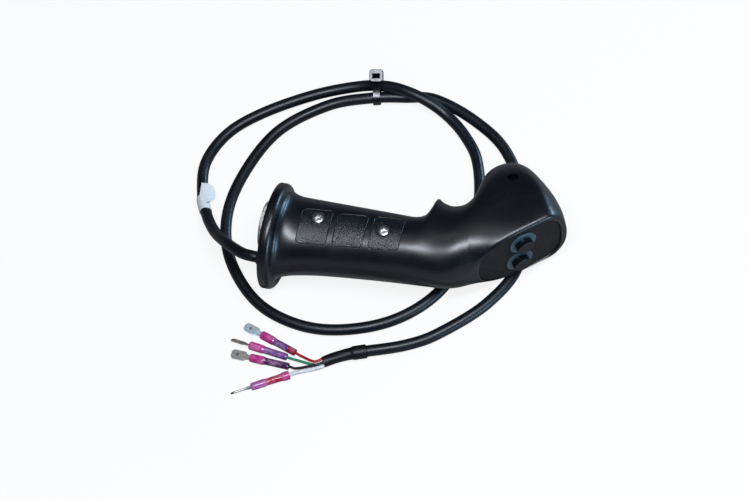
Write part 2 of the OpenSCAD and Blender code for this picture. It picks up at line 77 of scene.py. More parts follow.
def at(x, y, z=0.0):
    """A point of the grip's frame in the object's frame, both in millimetres."""
    return (x - GRIP_MID_X, y - GRIP_MID_Y, z + AXIS_Z)


def plate_matrix():
    """The button plate's frame: X up the plate, Y to the left, Z out of it."""
    c, s = math.cos(PLATE_ANGLE), math.sin(PLATE_ANGLE)
    x, y, z = at(PLATE_X, PLATE_Y)
    return Matrix(((c, 0, s, x), (s, 0, -c, y), (0, 1, 0, z), (0, 0, 0, 1)))


def circle(count):
    """The angles of evenly spaced points on a circle."""
    return [2 * math.pi * k / count for k in range(count)]


# ---------------------------------------------------------------- settings

def length(name, description, default, low, high):
    """A size of the panel, its values given in millimetres."""
    return FloatProperty(name=name, description=description, default=default * MM,
                         min=low * MM, max=high * MM, unit="LENGTH", precision=5)


def tone(name, description, default):
    """A colour of the panel."""
    return FloatVectorProperty(name=name, description=description, default=default,
                               subtype="COLOR", size=3, min=0, max=1)


class HandgripSizes(bpy.types.PropertyGroup):
    """Sizes of the pieces that the dressing adds"""
    cable_diameter: length("Cable diameter", "Outer diameter of the jacket", CABLE_D, 5, 8)
    lead_diameter: length("Lead diameter", "Outer diameter of one lead", 1.7, 1.2, 2.2)
    white_lead_diameter: length(
        "White lead diameter", "Outer diameter of the heavier white lead", 2.6, 2, 3)
    screw_head: length("Screw head", "Diameter of the handle screws' heads", 7.6, 6, 8)
    screw_socket: length("Screw socket", "Width of the hexagon socket", 2.9, 2, 3)
    lip_round: length("Lip rounding", "Rounding of the lip round the button plate", 3.2, 1, 4)
    pad_grain: length("Pad grain", "Size of the grain on the grip pads", 0.50, 0.4, 2)
    sleeve_wall: length("Sleeve wall", "Wall of the terminals' sleeves", 0.5, 0.3, 0.8)


class HandgripColours(bpy.types.PropertyGroup):
    """Colours of the finishes"""
    shell: tone("Shell", "Satin moulded shells", (0.0011, 0.0028, 0.0056))
    plate: tone("Button plate", "Matte button plate and cap tops", (0.0085, 0.0066, 0.0062))
    bezel: tone("Bezel", "Bezel rings", (0.070, 0.130, 0.165))
    jacket: tone("Cable jacket", "Jacket of the cable", (0.0030, 0.0064, 0.0105))
    steel: tone("Steel", "Lever adapter", (0.93, 0.94, 0.95))
    zinc: tone("Zinc plating", "Handle screws and nuts", (0.86, 0.88, 0.90))
    sleeve: tone("Terminal sleeve", "Soft vinyl sleeves", (0.52, 0.020, 0.23))
    collar: tone("Crimson sleeve", "Sleeve of the pin terminal", (0.42, 0.008, 0.03))
    label: tone("Label", "Blank paper label", (0.80, 0.85, 0.88))


def chosen(name):
    """A size from the panel, in millimetres."""
    return round(getattr(bpy.context.scene.handgrip_sizes, name) / MM, 5)


# ---------------------------------------------------------------- meshes

def linked(name, data):
    """A new object of the scene."""
    piece = bpy.data.objects.new(name, data)
    bpy.context.scene.collection.objects.link(piece)
    return piece


def smooth(piece, sharp):
    """Shades a piece smooth, apart from edges sharper than an angle in degrees."""
    mesh = piece.data
    mesh.polygons.foreach_set("use_smooth", [True] * len(mesh.polygons))
    mesh.set_sharp_from_angle(angle=math.radians(sharp))
    mesh.update()


def mesh_piece(name, points, faces, sharp=35):
    """A mesh object from points in millimetres of the object's frame."""
    mesh = bpy.data.meshes.new(name)
    mesh.from_pydata([tuple(float(v) * MM for v in p) for p in points], [],
                     [tuple(f) for f in faces])
    piece = linked(name, mesh)
    smooth(piece, sharp)
    return piece


def outward(piece, sharp=35):
    """Merges doubles and turns every face outwards."""
    work = bmesh.new()
    work.from_mesh(piece.data)
    bmesh.ops.remove_doubles(work, verts=work.verts, dist=2e-6)
    bmesh.ops.dissolve_degenerate(work, dist=1e-6, edges=work.edges)
    bmesh.ops.recalc_face_normals(work, faces=work.faces)
    work.to_mesh(piece.data)
    work.free()
    smooth(piece, sharp)
    return piece


def ring_faces(rings, count, first=0):
    """Quads between neighbouring rings of points, from the point numbered first."""
    faces = []
    for i in range(rings - 1):
        for k in range(count):
            a = first + i * count + k
            b = first + i * count + (k + 1) % count
            faces.append((a, b, b + count, a + count))
    return faces


def bridge(last, count):
    """Quads that join the ring of points numbered from last to the first ring."""
    return [(last + k, last + (k + 1) % count, (k + 1) % count, k) for k in range(count)]


def loft(name, rings, sharp=35):
    """A closed solid through rings of equally many points."""
    count, last = len(rings[0]), (len(rings) - 1) * len(rings[0])
    ends = [tuple(range(count)), tuple(range(last, last + count))]
    points = [p for ring in rings for p in ring]
    return outward(mesh_piece(name, points, ring_faces(len(rings), count) + ends, sharp), sharp)


def hoop(name, rings, sharp):
    """A closed hoop or tube: the last ring of points joins the first."""
    count, last = len(rings[0]), (len(rings) - 1) * len(rings[0])
    faces = ring_faces(len(rings), count) + bridge(last, count)
    return outward(mesh_piece(name, [p for ring in rings for p in ring], faces, sharp), sharp)


def turned_rings(profile, place, sides):
    """Rings of points about Z: profile holds (radius, height); place is a matrix."""
    return [[place @ Vector((radius * math.cos(w), radius * math.sin(w), height))
             for w in circle(sides)] for radius, height in profile]


def turned(name, profile, place, sides=64, sharp=35):
    """A solid of revolution."""
    return loft(name, turned_rings(profile, place, sides), sharp)


def rod(name, radius, low, high, place, sides=48):
    """A round rod along Z."""
    return turned(name, [(radius, low), (radius, high)], place, sides)


def prism(name, outlines, place, sharp=35):
    """A solid through outlines: each is (height, list of (x, y))."""
    return loft(name, [[place @ Vector((x, y, h)) for x, y in outline]
                       for h, outline in outlines], sharp)


def bar(name, outline, low, high, place, sharp=35):
    """A prism of one outline along Z."""
    return prism(name, [(low, outline), (high, outline)], place, sharp)


def hexagon(af, turn=0.0):
    """A hexagon's outline: its width across flats, and the angle of its first corner."""
    reach = af / 2 / math.cos(math.pi / 6)
    corners = [turn + k * math.pi / 3 for k in range(6)]
    return [(reach * math.cos(w), reach * math.sin(w)) for w in corners]


def cut(piece, cutter, sharp=35):
    """Cuts a piece with another one, which is removed."""
    modifier = piece.modifiers.new("cut", "BOOLEAN")
    modifier.operation = "DIFFERENCE"
    modifier.solver = "EXACT"
    modifier.object = cutter
    graph = bpy.context.evaluated_depsgraph_get()
    mesh = bpy.data.meshes.new_from_object(piece.evaluated_get(graph), depsgraph=graph)
    piece.modifiers.remove(modifier)
    old = piece.data
    piece.data = mesh
    bpy.data.meshes.remove(old)
    bpy.data.objects.remove(cutter)
    smooth(piece, sharp)


def join(name, pieces, sharp=35):
    """One mesh object from several."""
    work = bmesh.new()
    for piece in pieces:
        work.from_mesh(piece.data)
    mesh = bpy.data.meshes.new(name)
    work.to_mesh(mesh)
    work.free()
    for piece in pieces:
        bpy.data.objects.remove(piece)
    whole = linked(name, mesh)
    smooth(whole, sharp)
    return whole


def dress(piece, material, body, replaced):
    """Gives a piece its finish and its body, and hides the CAD nodes that it stands for."""
    if not piece.data.materials:
        piece.data.materials.append(material)
    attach(piece, body)
    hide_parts(*replaced)


def dress_node(node, material):
    """Gives a CAD node a finish of its own."""
    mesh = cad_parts[node].data
    mesh.materials.clear()
    mesh.materials.append(material)


# ---------------------------------------------------------------- smooth curves

def curve_at(points, u):
    """The smooth curve through points, at a place counted in points."""
    points = np.asarray(points, float)
    last = len(points) - 1
    i = min(int(math.floor(u)), last - 1)
    t = u - i
    a, b, c, d = points[max(i - 1, 0)], points[i], points[i + 1], points[min(i + 2, last)]
    return 0.5 * (2*b + (c - a)*t + (2*a - 5*b + 4*c - d)*t*t + (3*b - a - 3*c + d)*t**3)


def smooth_line(points, steps):
    """The smooth curve through points as a line, with steps from each to the next."""
    last = len(points) - 1
    return [curve_at(points, last * k / (last * steps)) for k in range(last * steps + 1)]


def travel(line, i):
    """The direction of a line of points at one of them."""
    way = Vector(line[min(i + 1, len(line) - 1)]) - Vector(line[max(i - 1, 0)])
    return way.normalized()


def evenly(points, count):
    """Equally spaced points along a line of points."""
    points = np.asarray(points, float)
    steps = np.r_[0, np.cumsum(np.linalg.norm(np.diff(points, axis=0), axis=1))]
    if steps[-1] < 1e-9:
        return [points[0]] * count
    return [np.array([np.interp(d, steps, points[:, k]) for k in range(points.shape[1])])
            for d in np.linspace(0, steps[-1], count)]


# ---------------------------------------------------------------- node trees

class Tree:
    """A short hand for building node trees."""

    def __init__(self, tree):
        self.tree = tree

    def add(self, kind, values=None, **settings):
        """A new node, with its settings and with values or links for its inputs."""
        node = self.tree.nodes.new(kind)
        for key, value in settings.items():
            setattr(node, key, value)
        for key, value in (values or {}).items():
            if isinstance(value, bpy.types.NodeSocket):
                self.tree.links.new(value, node.inputs[key])
            else:
                node.inputs[key].default_value = value
        return node

    def link(self, a, b):
        self.tree.links.new(a, b)

    def math(self, operation, a, b=0.0):
        return self.add("ShaderNodeMath", {0: a, 1: b}, operation=operation).outputs[0]

    def plus(self, a, b):
        return self.math("ADD", a, b)

    def minus(self, a, b):
        return self.math("SUBTRACT", a, b)

    def times(self, a, b):
        return self.math("MULTIPLY", a, b)

    def ramp(self, value, low, high, to_low=0.0, to_high=1.0):
        """A smooth step between two values."""
        return self.add("ShaderNodeMapRange", {0: value, 1: low, 2: high, 3: to_low, 4: to_high},
                        interpolation_type="SMOOTHSTEP").outputs[0]

    def mix(self, share, a, b):
        """A mix of two colours."""
        return self.add("ShaderNodeMix", {0: share, 6: a, 7: b}, data_type="RGBA").outputs[2]


def rgba(colour, factor=1.0):
    return tuple(min(1.0, c * factor) for c in colour) + (1.0,)


class Finish(Tree):
    """A material with one Principled surface, on the Object coordinates."""

    def __init__(self, name, colour, roughness, metallic=0.0, **sockets):
        self.material = bpy.data.materials.new(name)
        self.material.use_nodes = True
        super().__init__(self.material.node_tree)
        self.tree.nodes.clear()
        self.surface = self.add("ShaderNodeBsdfPrincipled", {
            "Base Color": rgba(colour), "Roughness": roughness, "Metallic": metallic, **sockets})
        self.output = self.add("ShaderNodeOutputMaterial")
        self.link(self.surface.outputs[0], self.output.inputs[0])
        self.place = self.add("ShaderNodeTexCoord").outputs["Object"]
        self.relief = None

    def noise(self, size, detail=3.0, place=None):
        """Noise with features of about a size in millimetres."""
        return self.add("ShaderNodeTexNoise", {
            "Vector": place or self.place, "Scale": 1 / (size * MM), "Detail": detail}
            ).outputs["Fac"]

    def cells(self, size, feature="F1"):
        """Distance to the nearest middle of many cells."""
        return self.add("ShaderNodeTexVoronoi", {"Vector": self.place, "Scale": 1 / (size * MM)},
                        feature=feature).outputs["Distance"]

    def drawn(self, squeeze):
        """Coordinates in which a pattern is drawn out along X."""
        return self.add("ShaderNodeMapping", {
            "Vector": self.place, "Scale": (squeeze, 1.0, 1.0)}).outputs[0]

    def far_from(self, point):
        """Distance from a point given in millimetres."""
        return self.add("ShaderNodeVectorMath", {0: self.place, 1: tuple(point * MM)},
                        operation="DISTANCE").outputs["Value"]

    def mottle(self, colour, size, low, high, dark, light, detail=3.0):
        """A colour that drifts between a darker and a lighter share of it."""
        return self.mix(self.ramp(self.noise(size, detail), low, high),
                        rgba(colour, dark), rgba(colour, light))

    def drift(self, size, least, most, detail=3.0, place=None):
        """A value that drifts between two others."""
        return self.ramp(self.noise(size, detail, place), 0.3, 0.7, least, most)

    def set(self, socket, value):
        self.link(value, self.surface.inputs[socket])

    def bump(self, height, depth):
        """Adds a relief of a depth in millimetres."""
        values = {"Height": height, "Distance": depth * MM}
        if self.relief is not None:
            values["Normal"] = self.relief
        self.relief = self.add("ShaderNodeBump", values).outputs["Normal"]
        self.link(self.relief, self.surface.inputs["Normal"])


# ---------------------------------------------------------------- finishes

DUST = (0.30, 0.33, 0.36, 1)
# The grip pads on each side of the handle: middle, lower and upper edge
PADS = ((25.7, -9.9, 12.6), (47.5, -7.4, 13.7), (69.4, -5.0, 16.5))
PAD_HALF, PAD_ROUND, PAD_RISE = 6.6, 2.6, 0.13      # to the corner's middle, its radius, slope
PAD_FROM, PAD_TO = 9, 9.4                           # where the pads fade in from the middle
CAP_TOP = 4.75                                      # the caps' tops above the plate


def dust(finish, colour, amount=0.35, size=2.6, fleck=0.10):
    """Sparse pale flecks, as fine dust on dark plastic."""
    near = finish.ramp(finish.cells(size), fleck * 0.35, fleck, 1.0, 0.0)
    some = finish.ramp(finish.noise(14), 0.5, 0.62)
    return finish.mix(finish.times(finish.times(near, some), amount), colour, DUST)


def shell_finish(colour, grain):
    """Satin moulded plastic, with grained grip pads on both sides of the handle, and painted shade
    in the grooves round the pads.
    """
    f = Finish("satin_shell_plastic", colour, 0.36, **{"IOR": 1.52, "Specular IOR Level": 0.7})
    x, y, z = f.add("ShaderNodeSeparateXYZ", {0: f.place}).outputs
    pads, shaded_grooves = None, None
    for middle, low, high in PADS:
        along = f.minus(x, (middle - GRIP_MID_X) * MM)
        risen = f.minus(f.minus(y, f.times(along, PAD_RISE)),
                        ((low + high) / 2 - GRIP_MID_Y) * MM)
        dx = f.minus(f.math("ABSOLUTE", along), PAD_HALF * MM)
        dy = f.minus(f.math("ABSOLUTE", risen), ((high - low) / 2 - PAD_ROUND) * MM)
        squares = [f.math("POWER", f.math("MAXIMUM", d, 0), 2.0) for d in (dx, dy)]
        far = f.math("POWER", f.plus(*squares), 0.5)
        pad = f.ramp(far, 2.45 * MM, 2.65 * MM, 1.0, 0.0)
        rim = f.times(f.ramp(far, 2.25 * MM, 2.5 * MM), f.ramp(far, 2.55 * MM, 2.85 * MM, 1.0, 0.0))
        pads = pad if pads is None else f.math("MAXIMUM", pads, pad)
        shaded_grooves = rim if shaded_grooves is None else f.math("MAXIMUM", shaded_grooves, rim)
    side = f.ramp(f.math("ABSOLUTE", f.minus(z, AXIS_Z * MM)), PAD_FROM * MM, PAD_TO * MM)
    pads, shaded_grooves = f.times(pads, side), f.times(shaded_grooves, side)
    dusty = dust(f, f.mottle(colour, 30, 0.3, 0.7, 0.85, 1.2))
    lifted = f.mix(pads, dusty, rgba(colour, 1.6))
    # painted shade: the grooves round the pads are drawn at a third of the shell's colour
    f.set("Base Color", f.mix(shaded_grooves, lifted, rgba(colour, 0.3)))
    rough = f.plus(f.drift(22, 0.30, 0.37), f.drift(1.1, -0.02, 0.03))
    f.set("Roughness", f.plus(rough, f.times(pads, -0.02)))
    f.bump(f.noise(0.35, 2.0), 0.012)
    coarse = f.plus(f.cells(grain, "SMOOTH_F1"), f.times(f.noise(grain * 0.8, 2.0), 0.6))
    f.bump(f.times(coarse, pads), 0.19)
    f.bump(shaded_grooves, -0.25)
    return f.material


def plate_finish(colour):
    """Matte, faintly speckled plastic."""
    f = Finish("matte_plate_plastic", colour, 0.62, **{"Specular IOR Level": 0.35})
    speckled = f.mottle(colour, 1.2, 0.45, 0.75, 0.85, 1.6, 4)
    f.set("Base Color", dust(f, speckled, 0.2, 3.2, 0.08))
    f.set("Roughness", f.drift(4, 0.56, 0.68))
    f.bump(f.noise(0.4, 2), 0.02)
    return f.material


def cap_finish(colour, top_colour):
    """A button cap: glossy round its side, matte on its flat top."""
    f = Finish("button_cap_plastic", colour, 0.12, **{"IOR": 1.5})
    out = plate_matrix().to_3x3() @ UP
    level = out.dot(plate_matrix() @ Vector((0, 0, CAP_TOP))) * MM
    above = f.add("ShaderNodeVectorMath", {0: f.place, 1: tuple(out)},
                  operation="DOT_PRODUCT").outputs["Value"]
    top = f.ramp(f.minus(above, level), -0.1 * MM, 0.1 * MM)
    grain = f.mottle(top_colour, 0.8, 0.4, 0.7, 0.9, 1.5)
    f.set("Base Color", f.mix(top, rgba(colour), grain))
    f.set("Roughness", f.ramp(top, 0, 1, 0.10, 0.62))
    f.bump(f.noise(3, 1), 0.01)
    return f.material


def bezel_finish(colour):
    """Satin coated metal."""
    f = Finish("bezel_coating", colour, 0.38, 0.35)
    f.set("Base Color", f.mottle(colour, 3, 0.3, 0.7, 0.88, 1.12))
    f.set("Roughness", f.drift(1.5, 0.32, 0.44))
    f.bump(f.noise(0.3, 2), 0.008)
    return f.material


def metal_finish(name, colour, roughness, streak=0.25, grain=0.006):
    """Bare or plated metal, faintly streaked along X."""
    f = Finish(name, colour, roughness, 1.0)
    drawn = f.drawn(0.15)
    f.set("Base Color", f.mottle(colour, 2.5, 0.35, 0.7, 0.78, 1.05, 4))
    f.set("Roughness", f.drift(0.6, roughness * 0.75, roughness * 1.3, 4, drawn))
    f.bump(f.noise(streak, 3, drawn), grain)
    return f.material


def tab_finish(name, colour, roughness, which, dimple):
    """A tab's metal, with its shallow dimple painted in another colour that stands for a hole
    through the tab.
    """
    f = Finish(name, colour, roughness, 0.45)
    drawn = f.drawn(0.3)
    far = f.far_from(terminal_matrix(which) @ Vector((TAB_HOLE, 0, 0.3)))
    worn = f.mottle(colour, 1.6, 0.4, 0.7, 0.8, 1.1, 5)
    # the dimple's colour is painted in for a hole: painted shade on the black tab, the floor's
    # painted light on the green tab, a brown tone on the red tab
    f.set("Base Color", f.mix(f.ramp(far, 0.75 * MM, 0.95 * MM), rgba(dimple), worn))
    f.set("Roughness", f.drift(0.8, roughness * 0.8, roughness * 1.3, 4, drawn))
    f.bump(f.noise(0.3, 3, drawn), 0.008)
    return f.material


def pin_finish(colour):
    """Bright metal, darkened towards the pin's tip."""
    f = Finish("pin_terminal", colour, 0.3, 0.85)
    far = f.far_from(terminal_matrix("white") @ Vector((SLEEVE_L + PIN_L, 0, 0)))
    worn = f.mottle(colour, 1.2, 0.35, 0.7, 0.65, 1.05, 4)
    f.set("Base Color", f.mix(f.ramp(far, 2.0 * MM, 2.8 * MM), (0.035, 0.035, 0.04, 1), worn))
    f.bump(f.noise(0.4), 0.01)
    return f.material


def rubber_finish(name, colour, roughness, grain=0.5, shine=0.36, depth=0.015):
    """Dusty rubber or dull plastic."""
    f = Finish(name, colour, roughness, **{"Specular IOR Level": shine})
    f.set("Base Color", dust(f, rgba(colour), 0.25, 2.2, 0.08))
    f.set("Roughness", f.drift(5, roughness - 0.06, roughness + 0.06))
    f.bump(f.noise(grain), depth)
    return f.material


def jacket_finish(colour):
    """The cable's jacket: satin, with a slow waviness from the cores inside."""
    f = Finish("satin_jacket", colour, 0.36, **{"IOR": 1.5, "Specular IOR Level": 0.5})
    f.set("Base Color", dust(f, f.mottle(colour, 18, 0.3, 0.7, 0.8, 1.3), 0.25, 2.0, 0.08))
    f.set("Roughness", f.plus(f.drift(12, 0.33, 0.42), f.drift(0.8, -0.02, 0.03)))
    f.bump(f.noise(0.8, 2), 0.004)
    f.bump(f.noise(9, 1), 0.05)
    return f.material


def insulation_finish(name, colour):
    """Smooth, slightly uneven plastic."""
    f = Finish(name, colour, 0.38, **{"IOR": 1.5})
    f.set("Base Color", f.mottle(colour, 2, 0.3, 0.7, 0.85, 1.15))
    f.bump(f.noise(0.6, 2), 0.01)
    return f.material


def paper_finish(colour):
    """Plain matte paper."""
    f = Finish("plain_paper", colour, 0.75)
    f.set("Base Color", f.mottle(colour, 1.2, 0.35, 0.7, 0.93, 1.03, 5))
    f.bump(f.noise(0.25, 4), 0.012)
    return f.material


def sleeve_finish(name, near, far, band=None):
    """Soft vinyl whose colour changes where it goes from the lead to the crimp."""
    f = Finish(name, far, 0.14, **{"IOR": 1.5, "Coat Weight": 0.4})
    along = f.add("ShaderNodeAttribute", attribute_name="along",
                  attribute_type="GEOMETRY").outputs["Fac"]
    colour = f.mix(f.ramp(along, 0.60, 0.64), rgba(near), rgba(far))
    if band:
        colour = f.mix(f.ramp(along, 0.19, 0.22), rgba(band), colour)
    cloud = f.times(f.ramp(f.noise(3.5), 0.35, 0.75), 0.35)
    f.set("Base Color", f.mix(cloud, colour, (0.9, 0.5, 0.75, 1)))
    f.bump(f.noise(2.4, 2), 0.12)
    f.bump(f.noise(0.5, 2), 0.01)
    return f.material


MADE = {}


def finishes():
    """The finishes by name, each made when a piece first asks for it."""
    c = bpy.context.scene.handgrip_colours
    deep, oxide = (0.004, 0.005, 0.007), (0.012, 0.012, 0.013)
    own = {
        "satin_shell_plastic": (shell_finish, c.shell, chosen("pad_grain")),
        "matte_plate_plastic": (plate_finish, c.plate),
        "button_cap_plastic": (cap_finish, deep, c.plate),
        "bezel_coating": (bezel_finish, c.bezel),
        "pin_terminal": (pin_finish, (0.66, 0.68, 0.70)),
        "satin_jacket": (jacket_finish, c.jacket),
        "plain_paper": (paper_finish, c.label),
    }
    # kinds of finish that come in several colours, whose makers are told the name too
    named = {
        "zinc_plating": (metal_finish, c.zinc, 0.36),
        "turned_steel": (metal_finish, c.steel, 0.44, 1.2, 0.001),
        "black_oxide": (metal_finish, oxide, 0.40),
        "spring_wire": (metal_finish, (0.45, 0.46, 0.48), 0.3),
        "rolled_brass": (metal_finish, (0.62, 0.46, 0.20), 0.3),
        "matte_rubber": (rubber_finish, (0.0045, 0.0055, 0.0070), 0.42),
        "moulded_nylon": (rubber_finish, deep, 0.24, 2.5, 0.8, 0.006),
        "switch_housing": (rubber_finish, oxide, 0.5),
        "ivory_plastic": (insulation_finish, (0.70, 0.67, 0.58)),
        "red_vinyl": (sleeve_finish, (0.12, 0.045, 0.22), c.sleeve, (0.36, 0.006, 0.05)),
        "green_vinyl": (sleeve_finish, (0.14, 0.045, 0.24), c.sleeve),
        "black_vinyl": (sleeve_finish, (0.045, 0.006, 0.07), c.sleeve),
        "white_vinyl": (sleeve_finish, c.collar, (0.42, 0.10, 0.36), c.sleeve),
        # each tab's last colour is painted into its dimple for a hole: painted shade on the black
        # tab, painted floor light on the green tab
        "red_tab": (tab_finish, (0.62, 0.78, 0.88), 0.45, "red", (0.42, 0.15, 0.06)),
        "green_tab": (tab_finish, (0.36, 0.31, 0.26), 0.45, "green", (0.62, 0.66, 0.68)),
        "black_tab": (tab_finish, (0.42, 0.41, 0.38), 0.38, "black", (0.10, 0.10, 0.10)),
        "red_sheathing": (insulation_finish, (0.50, 0.010, 0.015)),
        "green_sheathing": (insulation_finish, (0.010, 0.26, 0.13)),
        "black_sheathing": (insulation_finish, (0.012, 0.012, 0.014)),
        "white_sheathing": (insulation_finish, (0.72, 0.72, 0.74)),
    }

    def get(name):
        if name not in MADE:
            maker, *values = own.get(name) or named[name]
            MADE[name] = maker(*values) if name in own else maker(name, *values)
        return MADE[name]
    return get


# ---------------------------------------------------------------- geometry nodes

def node_group(name, inputs):
    """A geometry node group with named inputs, and its input and output nodes."""
    group = bpy.data.node_groups.new(name, "GeometryNodeTree")
    sockets = group.interface
    sockets.new_socket("Geometry", in_out="INPUT", socket_type="NodeSocketGeometry")
    for label, kind, value in inputs:
        socket = sockets.new_socket(label, in_out="INPUT", socket_type="NodeSocket" + kind)
        if value is not None:
            socket.default_value = value
    sockets.new_socket("Geometry", in_out="OUTPUT", socket_type="NodeSocketGeometry")
    t = Tree(group)
    return t, t.add("NodeGroupInput"), t.add("NodeGroupOutput")


def end_group(t, start, end, geometry):
    """Ends a group in real meshes with their finish."""
    real = t.add("GeometryNodeRealizeInstances", {0: geometry})
    done = t.add("GeometryNodeSetMaterial", {
        "Geometry": real.outputs[0], "Material": start.outputs["Finish"]})
    t.link(done.outputs[0], end.inputs[0])
    return t.tree


def grow(name, group, values, sharp=35):
    """Runs a node group on an empty carrier and keeps the result as a plain mesh."""
    carrier = linked(name, bpy.data.meshes.new(name))
    modifier = carrier.modifiers.new("grow", "NODES")
    modifier.node_group = group
    keys = {s.name: s.identifier for s in group.interface.items_tree
            if s.item_type == "SOCKET" and s.in_out == "INPUT"}
    for label, value in values.items():
        modifier[keys[label]] = value
    graph = bpy.context.evaluated_depsgraph_get()
    mesh = bpy.data.meshes.new_from_object(carrier.evaluated_get(graph), depsgraph=graph)
    carrier.modifiers.remove(modifier)
    empty = carrier.data
    carrier.data = mesh
    bpy.data.meshes.remove(empty)
    mesh.name = name
    smooth(carrier, sharp)
    return carrier


def swept_group():
    """Sweeps a round profile along a curve, and closes its ends."""
    t, start, end = node_group("swept_cord", [
        ("Route", "Object", None), ("Radius", "Float", 0.0035),
        ("Sides", "Int", 20), ("Finish", "Material", None)])
    route = t.add("GeometryNodeObjectInfo", {"Object": start.outputs["Route"]})
    along = t.add("GeometryNodeSplineParameter")
    noted = t.add("GeometryNodeStoreNamedAttribute", {
        "Geometry": route.outputs["Geometry"], "Name": "along", "Value": along.outputs["Length"]})
    profile = t.add("GeometryNodeCurvePrimitiveCircle", {
        "Resolution": start.outputs["Sides"], "Radius": start.outputs["Radius"]})
    cord = t.add("GeometryNodeCurveToMesh", {
        "Curve": noted.outputs[0], "Profile Curve": profile.outputs[0], "Fill Caps": True})
    return end_group(t, start, end, cord.outputs[0])


def placed_group():
    """Puts one piece at every point of a guide mesh."""
    t, start, end = node_group("placed_pieces", [
        ("Guide", "Object", None), ("Piece", "Object", None),
        ("Turn", "Vector", (0, 0, 0)), ("Finish", "Material", None)])
    guide = t.add("GeometryNodeObjectInfo", {"Object": start.outputs["Guide"]})
    piece = t.add("GeometryNodeObjectInfo", {"Object": start.outputs["Piece"]})
    points = t.add("GeometryNodeMeshToPoints", {"Mesh": guide.outputs["Geometry"]})
    copies = t.add("GeometryNodeInstanceOnPoints", {
        "Points": points.outputs[0], "Instance": piece.outputs["Geometry"],
        "Rotation": start.outputs["Turn"]})
    return end_group(t, start, end, copies.outputs[0])


def route_curve(name, points):
    """A curve object with one open spline through points in millimetres."""
    curve = bpy.data.curves.new(name, "CURVE")
    curve.dimensions = "3D"
    spline = curve.splines.new("POLY")
    spline.points.add(len(points) - 1)
    for point, p in zip(spline.points, points):
        point.co = (*(float(v) * MM for v in p), 1)
    return linked(name, curve)


def swept(name, points, radius, material, sides):
    """A round cord along points in millimetres, made by the swept_cord group."""
    route = route_curve(name + "_route", points)
    piece = grow(name, bpy.data.node_groups.get("swept_cord") or swept_group(),
                 {"Route": route, "Radius": radius * MM, "Sides": sides, "Finish": material}, 50)
    bpy.data.objects.remove(route)
    return piece


def placed(name, points, piece, material, sharp):
    """Copies of a piece at points in millimetres, made by the placed_pieces group."""
    guide = mesh_piece(name + "_guide", points, [])
    made = grow(name, bpy.data.node_groups.get("placed_pieces") or placed_group(),
                {"Guide": guide, "Piece": piece, "Finish": material}, sharp)
    bpy.data.objects.remove(guide)
    bpy.data.objects.remove(piece)
    return made


# ---------------------------------------------------------------- stage and camera

FLOOR_HALF = 4000
GRIP_CENTRE, COOL = (0.0, 0.0, 0.03), (0.42, 0.70, 1.0)
# Each lamp: its place, what it faces, its width and height, its power and its colour
LAMPS = {
    "key_softbox": ((0.25, -0.33, 1.47), GRIP_CENTRE, 1.1, 0.26, 22, (0.86, 0.91, 1.0)),
    "rim_card": ((-0.43, 0.30, 1.38), (-0.12, 0.0, 0.04), 0.12, 0.12, 0.45, (1.0, 1.0, 1.0)),
    "back_window": ((0.86, 0.98, 0.26), GRIP_CENTRE, 0.46, 0.32, 9, COOL),
    "side_window": ((1.20, -0.52, 0.26), GRIP_CENTRE, 0.46, 0.32, 7, COOL),
}
# The camera: its right and the way back to it, its distance, and its aim right and down
VIEW_RIGHT, VIEW_BACK = Vector((0.959, 0.263, -0.108)), Vector((0.219, -0.440, 0.871))
VIEW_DISTANCE, AIM_RIGHT, AIM_DOWN = 2.0, 0.0598, 0.0085
SENSOR, LENS = 36.0, 158.4


def light_world(scene):
    """A dim warm surround, which the camera sees as plain white."""
    world = bpy.data.worlds.new("studio")
    scene.world = world
    world.use_nodes = True
    t = Tree(world.node_tree)
    t.tree.nodes.clear()
    path = t.add("ShaderNodeLightPath").outputs
    shown = t.math("MAXIMUM", path["Is Camera Ray"], path["Is Transmission Ray"])
    soft = t.add("ShaderNodeBackground", {"Color": (1.0, 0.90, 0.82, 1), "Strength": 0.04})
    white = t.add("ShaderNodeBackground", {"Color": (1, 1, 1, 1), "Strength": 1.0})
    both = t.add("ShaderNodeMixShader", {0: shown, 1: soft.outputs[0], 2: white.outputs[0]})
    output = t.add("ShaderNodeOutputWorld")
    t.link(both.outputs[0], output.inputs[0])


def lay_floor():
    """A floor that the camera sees almost white, and that keeps the object's shadow."""
    h = FLOOR_HALF
    floor = mesh_piece("floor", [(-h, -h, 0), (h, -h, 0), (h, h, 0), (-h, h, 0)], [(0, 1, 2, 3)])
    f = Finish("pale_floor", (0.5, 0.5, 0.5), 0.9, **{"Specular IOR Level": 0.0})
    seen = f.add("ShaderNodeLightPath").outputs["Is Camera Ray"]
    f.set("Base Color", f.mix(seen, (0.34, 0.33, 0.32, 1), (0.97, 0.97, 0.97, 1)))
    glow = f.add("ShaderNodeEmission", {"Color": (1, 1, 1, 1), "Strength": 1.0})
    both = f.add("ShaderNodeMixShader", {
        0: f.times(seen, 0.86), 1: f.surface.outputs[0], 2: glow.outputs[0]})
    f.link(both.outputs[0], f.output.inputs[0])
    floor.data.materials.append(f.material)


def hang_lamps():
    """The area lamps, each turned to what it faces."""
    for name, (place, aim, width, height, power, colour) in LAMPS.items():
        lamp = bpy.data.lights.new(name, "AREA")
        lamp.shape = "RECTANGLE"
        lamp.size, lamp.size_y, lamp.energy, lamp.color = width, height, power, colour
        holder = linked(name, lamp)
        holder.location = place
        facing = Vector(aim) - Vector(place)
        holder.rotation_euler = facing.to_track_quat("-Z", "Y").to_euler()


